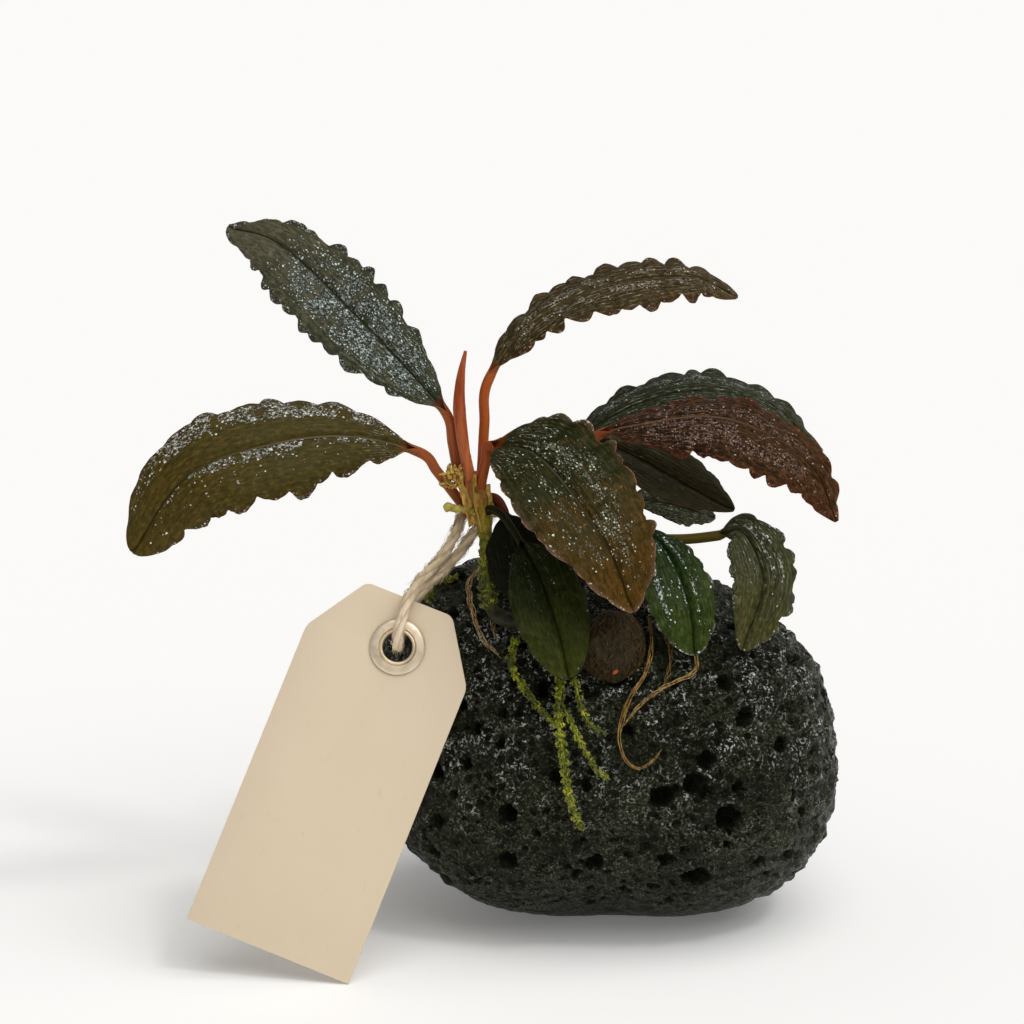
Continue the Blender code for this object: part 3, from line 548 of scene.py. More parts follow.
# direction from the centre, height, spread
STONE_BUMPS = (
    ((-0.75, -0.10, 0.72), 4.0, 0.45),
    ((0.62, 0.00, 0.80), -4.5, 0.50),
    ((-0.80, -0.10, -0.60), -2.0, 0.40),
    ((0.00, -0.62, -0.78), -4.5, 0.50),
    ((-0.66, -0.66, 0.36), -5.0, 0.45),
)
# Pits on the stone's front: x, z and radius
FRONT_PITS = (
    (9.5, 35.0, 2.4), (15.5, 37.5, 2.1), (18.0, 42.0, 1.9), (25.5, 49.0, 1.9), (22.5, 30.0, 2.7),
    (16.5, 17.0, 3.0), (10.5, 21.5, 1.7), (-3.5, 20.0, 2.0), (-20.5, 20.5, 2.0), (-20.5, 30.5, 1.9),
    (22.0, 55.5, 1.8), (33.0, 43.0, 1.7),
)
SPIRAL_PITS = 38
SPIRAL_PIT_RADII = (2.0, 2.8, 1.8, 3.2, 2.2)
SPIRAL_FRONT_LIMIT = -0.35
PIT_SPACING = 1.3
FOOT_LIMIT = -0.80
GOLDEN_ANGLE = math.pi * (3.0 - math.sqrt(5.0))
SMALL_PITS = 1000
SMALL_PITS_ABOVE = 7.0
SMALL_PIT_JOLT = 0.06
SMALL_PIT_RADIUS = 0.45
SMALL_PIT_SPREAD = 1.2
# How ragged a pit's rim is, how closely its notches stand, how far out it may reach for its
# radius and how steep its wall is
PIT_RAGGED = 0.30
PIT_NOTCHES = 1.4
PIT_REACH = 1.4
PIT_WALL = 0.36
# How deep a large pit is for its radius
PIT_DEPTH = 1.15
# Height and pitch of the skin's lumps and cinders. They fade near the floor, and their middle
# level is taken off again, so that the stone keeps its size and its flat foot
STONE_LUMPS = ((1.5, 0.20), (1.0, 0.42))
STONE_CINDERS = (0.35, 0.85)
STONE_GRIT = (0.12, 1.6)
STONE_SKIN_LEVEL = 0.80
STONE_CALM_BELOW = 12.0
# Where the skin stands out most from the solid: direction, height, spread. It carries painted shade
# there, for the tag's shadow
STONE_SHOULDER = ((-0.90, 0.08, 0.42), 2.4, 0.32)
STONE_SHOULDER_SHADE = 0.24
WARM_SHEEN = (1.0, 0.95, 0.58)
# The skin runs from the dark colour in its creases to the pale one on its ridges: partly the grain's
# own tone, partly painted shade and highlight
STONE_COLOUR = (0.003, 0.0035, 0.002)
STONE_PALE_COLOUR = (0.155, 0.182, 0.108)
# Painted shade for pits, bubbles and creases
STONE_HOLLOW_SHADE_COLOUR = (0.002, 0.002, 0.0015)
# A painted highlight for the wet grains
STONE_GLINT_COLOUR = (0.98, 1.0, 0.96)
# Creases are what lies lower than this, and they take painted shade. A pit as deep as the second value
# is at full painted shade
CREASES_BELOW = 0.7
FULL_SHADE_DEPTH = 3.0
STONE_CREASE_SHADE = 0.30


def stone_reach(direction):
    """Distance from the stone's centre to its surface along a unit direction."""
    half_height = STONE_TOP if direction.z > 0.0 else STONE_BOTTOM
    side = (abs(direction.x) * 2.0 / STONE_WIDTH) ** STONE_SIDE_POWER
    section = (abs(direction.y) * 2.0 / STONE_DEPTH) ** STONE_SECTION_POWER
    section += (abs(direction.z) / half_height) ** STONE_SECTION_POWER
    total = side + section ** (STONE_SIDE_POWER / STONE_SECTION_POWER)
    reach = total ** (-1.0 / STONE_SIDE_POWER)
    for toward, height, spread in STONE_BUMPS:
        away = (direction - Vector(toward).normalized()).length / spread
        reach += height * math.exp(-away * away)
    return reach + STONE_UNEVEN * noise.noise(direction * STONE_UNEVEN_PITCH)


def above_stone(point, height):
    """The point moved along its ray from the stone's centre to a height above the surface."""
    direction = (Vector(point) - STONE_CENTRE).normalized()
    return STONE_CENTRE + direction * (stone_reach(direction) + height)


def clear_of_stone(point, clearance):
    """The point itself, or moved out where it is nearer to the stone than the clearance."""
    lifted = above_stone(point, clearance)
    is_clear = (Vector(point) - STONE_CENTRE).length > (lifted - STONE_CENTRE).length
    return Vector(point) if is_clear else lifted


def on_stone_front(x, z, height):
    """The point at x and z on the front of the stone, raised from the surface by a height."""
    outside = -STONE_DEPTH
    inside = 0.0
    while inside - outside > 0.01:
        middle = (outside + inside) / 2
        offset = Vector((x, middle, z)) - STONE_CENTRE
        if offset.length > stone_reach(offset.normalized()) + height:
            outside = middle
        else:
            inside = middle
    return Vector((x, outside, z))


def even_directions(count):
    """Directions spread evenly over a sphere along a spiral."""
    for i in range(count):
        height = 1.0 - 2.0 * (i + 0.5) / count
        ring = math.sqrt(1.0 - height * height)
        angle = GOLDEN_ANGLE * i
        yield Vector((ring * math.cos(angle), ring * math.sin(angle), height))


def large_pits():
    """Place, radius and depth of the pits that the stone's solid has too."""
    pits = [(on_stone_front(x, z, 0.0), radius) for x, z, radius in FRONT_PITS]
    for i, direction in enumerate(even_directions(SPIRAL_PITS)):
        radius = SPIRAL_PIT_RADII[i % len(SPIRAL_PIT_RADII)]
        place = above_stone(STONE_CENTRE + direction, 0.0)
        apart = all((place - other).length > PIT_SPACING * (radius + r) for other, r in pits)
        if apart and direction.y >= SPIRAL_FRONT_LIMIT and direction.z > FOOT_LIMIT:
            pits.append((place, radius))
    return [(place, radius, radius * PIT_DEPTH) for place, radius in pits]


def small_pits():
    """Gas bubbles too small for the solid, most of them about a millimetre wide."""
    draw = random.Random(5)
    pits = []
    for direction in even_directions(SMALL_PITS):
        jolt = Vector([draw.uniform(-SMALL_PIT_JOLT, SMALL_PIT_JOLT) for axis in range(3)])
        radius = SMALL_PIT_RADIUS + SMALL_PIT_SPREAD * draw.random() ** 4
        place = above_stone(STONE_CENTRE + (direction + jolt).normalized(), 0.0)
        if place.z > SMALL_PITS_ABOVE:
            pits.append((place, radius, radius * draw.uniform(0.7, 1.3)))
    return pits


def product(finish, *values):
    """Several values multiplied."""
    result = values[0]
    for value in values[1:]:
        result = maths(finish, "MULTIPLY", result, value)
    return result


def apart_from(finish, value, middle):
    """How far a value is from a middle one."""
    return maths(finish, "ABSOLUTE", maths(finish, "SUBTRACT", value, middle))


def measured(finish, name):
    """A value kept on the piece's own vertices."""
    return add_node(finish, "ShaderNodeAttribute", attribute_name=name).outputs["Fac"]


def swirled_by(finish, place, scale, amount):
    """A place pushed to and fro by a noise, so that a pattern on it loses its straight lines."""
    inputs = {"Vector": place, "Scale": scale, "Detail": 2.0}
    push = add_node(finish, "ShaderNodeTexNoise", inputs).outputs["Color"]
    inputs = {0: push, 1: amount, 2: place}
    return add_node(finish, "ShaderNodeVectorMath", inputs, operation="MULTIPLY_ADD").outputs[0]


def cells_at(finish, place, scale, **settings):
    """Cells round scattered points: the distance from a point, and three lots drawn for it."""
    inputs = {"Vector": place, "Scale": scale}
    cells = add_node(finish, "ShaderNodeTexVoronoi", inputs, **settings).outputs
    lots = add_node(finish, "ShaderNodeSeparateColor", {0: cells["Color"]}).outputs
    return cells["Distance"], lots


def lava():
    """Charcoal lava: grainy skin with painted shade in its pits and creases, and painted highlights on
    grains where they are wet.
    """
    finish = new_finish("lava", Specular_IOR_Level=0.20, Specular_Tint=(*WARM_SHEEN, 1.0))
    place = object_place(finish)
    hollow = measured(finish, "hollow")
    swirled = swirled_by(finish, place, 1100.0, (0.9 * MM, 0.9 * MM, 0.9 * MM))
    grit = noise_at(finish, swirled, 1900.0, 5.0, 0.74)
    clouds = noise_at(finish, place, 95.0, 4.0)
    # The grain's tone, pale on the ridges of the relief and dark in its creases: partly the lava's own
    # grain, partly painted highlight and shade
    ridge = ranged(finish, maths(finish, "MULTIPLY_ADD", clouds, 0.2, grit), 0.50, 0.74)
    tone = product(finish, ridge, ridge, ridge)
    skin = mixed(finish, tone, STONE_COLOUR, STONE_PALE_COLOUR)
    # Small open bubbles between the grains, their insides painted near-black as shade
    from_bubble, bubble_lots = cells_at(finish, swirled, 480.0)
    bubble_size = maths(finish, "MULTIPLY_ADD", bubble_lots[0], 0.38, 0.06)
    inside = maths(finish, "SUBTRACT", bubble_size, from_bubble)
    bubble = ranged(finish, inside, -0.05, 0.05)
    bubble_shaded_skin = mixed(finish, bubble, skin, STONE_HOLLOW_SHADE_COLOUR)
    # Painted highlights on wet grains, most of them on the upper half and on what faces up, where the
    # light falls
    grain_lots = cells_at(finish, swirled, 1050.0)[1]
    height_up = axis_of(finish, place, "Z")
    glint_patches = ranged(finish, noise_at(finish, place, 170.0, 3.0, 0.6), 0.46, 0.58)
    glint_patches = product(finish, glint_patches, ranged(finish, height_up, 18.0 * MM, 50.0 * MM, 0.30, 1.0))
    from_ridge = apart_from(finish, noise_at(finish, swirled, 620.0, 4.0, 0.6), 0.5)
    core = product(finish, ranged(finish, from_ridge, 0.040, 0.018), glint_patches)
    core = product(finish, core, ranged(finish, noise_at(finish, swirled, 1900.0), 0.50, 0.53))
    facing = add_node(finish, "ShaderNodeNewGeometry").outputs["Normal"]
    glint = product(
        finish,
        core,
        maths(finish, "MULTIPLY_ADD", grain_lots[2], 0.6, 0.5),
        ranged(finish, hollow, 0.25, 0.0),
        ranged(finish, axis_of(finish, facing, "Z"), -0.5, 0.35, 0.15, 1.0),
        maths(finish, "SUBTRACT", 1.0, bubble),
    )
    painted_glint_skin = mixed(finish, glint, bubble_shaded_skin, STONE_GLINT_COLOUR)
    # Painted shade in pits and creases and behind the tag, kept on the vertices
    shade = ranged(finish, hollow, 0.05, 0.45, 0.0, 0.95)
    swell = noise_at(finish, swirled, 520.0, 3.0, 0.6)
    height = maths(finish, "MULTIPLY_ADD", swell, 1.2, maths(finish, "MULTIPLY", grit, 0.75))
    height = maths(finish, "MULTIPLY_ADD", bubble, -0.5, height)
    connect(
        finish,
        Base_Color=mixed(finish, shade, painted_glint_skin, STONE_HOLLOW_SHADE_COLOUR),
        Roughness=ranged(finish, grit, 0.35, 0.65, 0.40, 0.13),
        Normal=relief(finish, height, 1.3),
    )
    return finish


stone_mesh = bmesh.new()
bmesh.ops.create_cube(stone_mesh, size=2.0)
bmesh.ops.subdivide_edges(
    stone_mesh, edges=stone_mesh.edges[:], cuts=STONE_CUTS, use_grid_fill=True
)
for vert in stone_mesh.verts:
    spread = Vector([math.tan(value * math.pi / 4) for value in vert.co])
    vert.co = above_stone(STONE_CENTRE + spread, 0.0)
stone_mesh.verts.ensure_lookup_table()
finder = kdtree.KDTree(len(stone_mesh.verts))
for vert in stone_mesh.verts:
    finder.insert(vert.co, vert.index)
finder.balance()
sunk = [0.0] * len(stone_mesh.verts)
for place, radius, depth in large_pits() + small_pits():
    for co, index, distance in finder.find_range(place, radius * PIT_REACH):
        edge = radius * (1.0 + PIT_RAGGED * noise.noise(co * (PIT_NOTCHES / radius)))
        share = max(0.0, 1.0 - (distance / edge) ** 2)
        sunk[index] = max(sunk[index], depth * share**PIT_WALL)
shaded = []
for vert in stone_mesh.verts:
    out = (vert.co - STONE_CENTRE).normalized()
    lumps = sum(height * abs(noise.noise(vert.co * pitch)) for height, pitch in STONE_LUMPS)
    cinders = STONE_CINDERS[0] * abs(noise.noise(vert.co * STONE_CINDERS[1]))
    cinders += STONE_GRIT[0] * noise.noise(vert.co * STONE_GRIT[1])
    calm = min(1.0, max(0.0, vert.co.z / STONE_CALM_BELOW))
    away = (out - Vector(STONE_SHOULDER[0])).length / STONE_SHOULDER[2]
    shoulder = math.exp(-away * away)
    lumps += STONE_SHOULDER[1] * shoulder
    vert.co += out * ((lumps + cinders - STONE_SKIN_LEVEL) * calm - sunk[vert.index])
    # Painted shade kept on each vertex: in pits, in creases and on the shoulder behind the tag
    crease = STONE_CREASE_SHADE * max(0.0, CREASES_BELOW - lumps - cinders)
    pit_shade = sunk[vert.index] / FULL_SHADE_DEPTH
    shaded.append(pit_shade + crease + STONE_SHOULDER_SHADE * shoulder)
    vert.co.z = max(0.0, vert.co.z)
stone = place_piece("lava_stone", stone_mesh, [lava()], "lava_stone", "stone")
hollow_shades = stone.data.attributes.new("hollow", "FLOAT", "POINT").data
hollow_shades.foreach_set("value", shaded)


# The rhizome: its old end is a rounded dark lump on the stone's front slope, wound in curly brown
# fibres, with one small orange bud. The left stem creeps from it over the stone and rises to the
# crown, first brown, then green with moss and orange-brown at the top. The right stem is brown.
KNOB_CENTRE = Vector((-0.2, -28.5, 62.5))
KNOB_HALF = Vector((6.2, 6.6, 7.2))
KNOB_FIBRES = 200
KNOB_FIBRE_POINTS = 5
# How far a fibre climbs from point to point, and the height that it stays under, both as shares
# of the knob's half height
KNOB_FIBRE_CLIMB = 0.13
KNOB_FIBRE_TOP = 0.95
KNOB_FIBRE_RADIUS = 0.09
BUD_PLACE = Vector((0.5, -33.9, 59.0))
BUD_LEAN = 0.7
BUD_HALF = (0.45, 0.45, 1.0)
LEFT_STEM = (
    ((-8.8, -26.0, 66.5), 1.5), ((-13.0, -25.0, 66.0), 1.7), ((-18.0, -23.5, 66.0), 1.7),
    ((-22.6, -22.0, 67.2), 1.5), ((-24.2, -19.5, 71.5), 1.2), ((-24.4, -15.5, 77.5), 1.2),
    ((-24.6, -13.3, 82.0), 1.4), ((-25.6, -11.8, 87.0), 2.0), ((-26.8, -10.8, 91.6), 2.3),
    ((-27.2, -10.6, 93.4), 1.9),
)
RIGHT_STEM = (
    ((0.3, -22.6, 71.6), 2.2), ((0.0, -17.0, 75.5), 2.2), ((-1.0, -9.5, 78.2), 2.3),
    ((-1.6, -4.0, 80.6), 2.6), ((-1.7, -3.4, 81.6), 2.3),
)
STEM_CLEARANCE = 0.8
BARK_COLOUR = (0.010, 0.006, 0.0015)
BARK_PALE_COLOUR = (0.052, 0.034, 0.009)
BARK_FIBRE_COLOUR = (0.026, 0.015, 0.005)
BARK_FIBRE_PALE_COLOUR = (0.120, 0.072, 0.018)
BUD_COLOUR = (0.30, 0.05, 0.01)
BUD_PALE_COLOUR = (0.55, 0.12, 0.02)
# Height above the floor and colour of the left stem's skin, each in a dark and a pale tone
STEM_TONES = (
    (67.5, (0.008, 0.006, 0.002), (0.032, 0.025, 0.008)),
    (71.0, (0.050, 0.060, 0.003), (0.200, 0.220, 0.015)),
    (79.0, (0.110, 0.110, 0.004), (0.380, 0.340, 0.025)),
    (86.0, (0.180, 0.120, 0.008), (0.500, 0.340, 0.045)),
    (90.5, (0.200, 0.060, 0.012), (0.420, 0.190, 0.060)),
    (93.5, (0.200, 0.035, 0.010), (0.400, 0.120, 0.040)),
)


def streaks_along(finish, scale, stretch, bump_height):
    """Fibrous streaks along Z, raised on the finish's shader: how pale each place is."""
    drawn = drawn_out(finish, object_place(finish), (scale, scale, scale * stretch))
    streaks = noise_at(finish, drawn, 1.0, 5.0, 0.7)
    connect(finish, Normal=relief(finish, streaks, bump_height, 0.9))
    return ranged(finish, streaks, 0.38, 0.68)


def streaked(name, dark, pale, scale, stretch, roughness, bump_height):
    """A fibrous plant skin: two tones in raised streaks along Z."""
    finish = new_finish(name, Roughness=roughness, Specular_IOR_Level=0.20)
    tone = streaks_along(finish, scale, stretch, bump_height)
    connect(finish, Base_Color=mixed(finish, tone, dark, pale))
    return finish


def stem_skin():
    """The left stem's skin, changing with its height from bark to moss green to orange-brown."""
    finish = new_finish("left_stem_skin", Roughness=0.45, Specular_IOR_Level=0.20)
    tone = streaks_along(finish, 900.0, 0.5, 0.3)
    place = object_place(finish)
    uneven = noise_at(finish, place, 450.0)
    level = maths(finish, "MULTIPLY_ADD", uneven, 5.0 * MM, axis_of(finish, place, "Z"))
    level = maths(finish, "SUBTRACT", level, 2.5 * MM)
    dark, pale = STEM_TONES[0][1:]
    for (low, *_), (high, next_dark, next_pale) in zip(STEM_TONES, STEM_TONES[1:]):
        risen = ranged(finish, level, low * MM, high * MM)
        dark = mixed(finish, risen, dark, next_dark)
        pale = mixed(finish, risen, pale, next_pale)
    connect(finish, Base_Color=mixed(finish, tone, dark, pale))
    return finish


def add_stem(bm, line_and_radii, lump):
    """Adds a stem of uneven thickness along its centre line, round at its ends."""
    points = [clear_of_stone(point, radius + STEM_CLEARANCE) for point, radius in line_and_radii]
    radii = [radius for point, radius in line_and_radii]
    marks = lengths_along(points)
    stations = stations_on(points, 0.3)

    def radius_at(part, angle):
        where = part * marks[-1]
        index = max(i for i in range(len(marks) - 1) if marks[i] <= where + 1e-6)
        share = min(1.0, (where - marks[index]) / (marks[index + 1] - marks[index]))
        radius = radii[index] + (radii[index + 1] - radii[index]) * share
        swell = noise.noise(Vector((part * 14, math.cos(angle) * 1.4, math.sin(angle) * 1.4)))
        swell += 0.5 * noise.noise(Vector((part * 55, math.cos(angle) * 3, math.sin(angle) * 3)))
        from_end = min(part, 1 - part) * marks[-1] / radius
        rounding = math.sqrt(1 - max(0.0, 1 - from_end) ** 2)
        return radius * (1.0 + lump * swell) * max(0.05, rounding)

    add_tube(bm, stations, 28, radius_at)
    return stations


bark_finish = streaked("bark", BARK_COLOUR, BARK_PALE_COLOUR, 1100.0, 0.35, 0.42, 0.5)
knob_mesh = bmesh.new()
bmesh.ops.create_icosphere(knob_mesh, subdivisions=6, radius=1.0)
for vert in knob_mesh.verts:
    ribs = noise.noise(Vector((vert.co.x * 7.0, vert.co.y * 7.0, vert.co.z * 1.8)))
    knots = noise.noise(vert.co * 6.0)
    uneven = 0.97 + 0.13 * noise.noise(vert.co * 1.7) + 0.04 * ribs + 0.03 * knots
    place = KNOB_CENTRE + vert.co * KNOB_HALF * uneven
    vert.co = clear_of_stone(place, STEM_CLEARANCE)
place_piece("rhizome_end", knob_mesh, [bark_finish], "rhizome_bark", "rhizome_knob")

# Curly fibres wound on the knob, mostly up and down it
draw = random.Random(31)
fibre_finish = streaked(
    "bark_fibres", BARK_FIBRE_COLOUR, BARK_FIBRE_PALE_COLOUR, 1500.0, 1.0, 0.5, 0.1
)
knob_fibre_mesh = bmesh.new()
for i in range(KNOB_FIBRES):
    angle = draw.uniform(-2.9, 0.3)
    height = draw.uniform(-0.85, 0.75)
    turn = draw.gauss(0.0, 0.10)
    points = []
    for step in range(KNOB_FIBRE_POINTS):
        level = min(KNOB_FIBRE_TOP, height + KNOB_FIBRE_CLIMB * step)
        ring = math.sqrt(max(0.05, 1 - level * level))
        angle += turn + draw.gauss(0.0, 0.07)
        lift = 1.0 + draw.uniform(0.0, 0.05)
        out = Vector((ring * math.cos(angle), ring * math.sin(angle), level)) * lift
        points.append(KNOB_CENTRE + out * KNOB_HALF)
    points = [clear_of_stone(point, STEM_CLEARANCE) for point in points]
    fibre = stations_on(points, 0.45)
    add_tube(knob_fibre_mesh, fibre, 5, lambda part, angle: KNOB_FIBRE_RADIUS * (1.1 - part))
place_piece("rhizome_end_fibres", knob_fibre_mesh, [fibre_finish], "rhizome_bark")

bud_mesh = bmesh.new()
bud_turn = Matrix.Translation(BUD_PLACE) @ Matrix.Rotation(BUD_LEAN, 4, "Y")
bud_shape = Matrix.Diagonal((*BUD_HALF, 1.0))
bmesh.ops.create_icosphere(bud_mesh, subdivisions=3, radius=1.0, matrix=bud_turn @ bud_shape)
bud_finish = streaked("bud", BUD_COLOUR, BUD_PALE_COLOUR, 700.0, 0.4, 0.35, 0.1)
place_piece("rhizome_bud", bud_mesh, [bud_finish], "rhizome_bark")

right_stem_mesh = bmesh.new()
add_stem(right_stem_mesh, RIGHT_STEM, 0.14)
place_piece("rhizome_right", right_stem_mesh, [bark_finish], "rhizome_bark", "right_stem")

left_stem_mesh = bmesh.new()
left_stem_stations = add_stem(left_stem_mesh, LEFT_STEM, 0.20)
place_piece("rhizome_left", left_stem_mesh, [stem_skin()], "mossy_stem", "left_stem")


# The new shoot: the youngest leaf, still rolled into an orange-red spear with one free edge
# winding round it and a bent tip.
NEW_SHOOT = (
    (-27.2, -11.4, 88.8), (-27.7, -11.7, 92.6), (-28.8, -11.2, 98.5), (-29.6, -10.8, 106.0),
    (-29.3, -10.4, 112.0), (-28.4, -10.0, 117.0),
)
SHOOT_RADII = (1.2, 1.05, 1.25, 1.3, 0.9, 0.3)
# How far the free edge winds round the roll, in radians, and how thick it is as a share of it
SHOOT_WINDING = 4.0
SHOOT_FREE_EDGE = 0.16
SHOOT_COLOUR = (0.26, 0.045, 0.012)
SHOOT_PALE_COLOUR = (0.52, 0.15, 0.045)


def shoot_radius(part, angle):
    """The rolled leaf's radius, with a step where its free edge lies on the roll."""
    place = part * (len(SHOOT_RADII) - 1)
    first = min(int(place), len(SHOOT_RADII) - 2)
    radius = SHOOT_RADII[first] + (SHOOT_RADII[first + 1] - SHOOT_RADII[first]) * (place - first)
    turned = (angle + part * SHOOT_WINDING) % (2 * math.pi)
    return radius * (0.90 + SHOOT_FREE_EDGE * (turned / (2 * math.pi)))


shoot_mesh = bmesh.new()
add_tube(shoot_mesh, stations_on(NEW_SHOOT, 0.3), 40, shoot_radius)
shoot_finish = streaked("shoot", SHOOT_COLOUR, SHOOT_PALE_COLOUR, 420.0, 0.10, 0.32, 0.08)
place_piece("rolled_shoot", shoot_mesh, [shoot_finish], "new_shoot", "new_shoot")


# The leaves: thick waxy blades with a sunken midrib, fine lengthwise veins and ruffled, lobed
# margins, each on its own round petiole. Their skin has bands of tiny raised points, painted
# silver as glints of the wet skin. The youngest margins are edged in pink and orange.
LEAF_ALONG = 260
LEAF_ACROSS = 52
LEAF_THICKNESS = 0.34
PETIOLE_FLARE = 0.45
PETIOLE_FLARE_LENGTH = 5.0
TIP_HALF_WIDTH = 0.35
# Nearer to the base than this part of the blade, its upper side is carried on without a twist
CARRIED_PART = 0.25
# The part of the blade in which the roll of the petiole opens flat
UNROLLED_PART = 0.10
BLADE_BULGE = 0.20
BLADE_UNEVEN = 0.22
RIB_GROOVE = 0.45
RIB_GROOVE_WIDTH = 0.50
# Shares of a leaf's ruffle: how far its lobes reach, from which crest on they stand out, how far
# they curl and droop, how fine teeth and long waves move the margin
LOBE_REACH = 1.8
LOBE_MIDDLE = 0.38
LOBE_CURL = 1.7
LOBE_DROOP = 0.3
MARGIN_TEETH = 0.40
MARGIN_WAVES = 1.6
# Half a lobe's width for the margin's length that it has to itself
LOBE_OVERLAP = 0.58
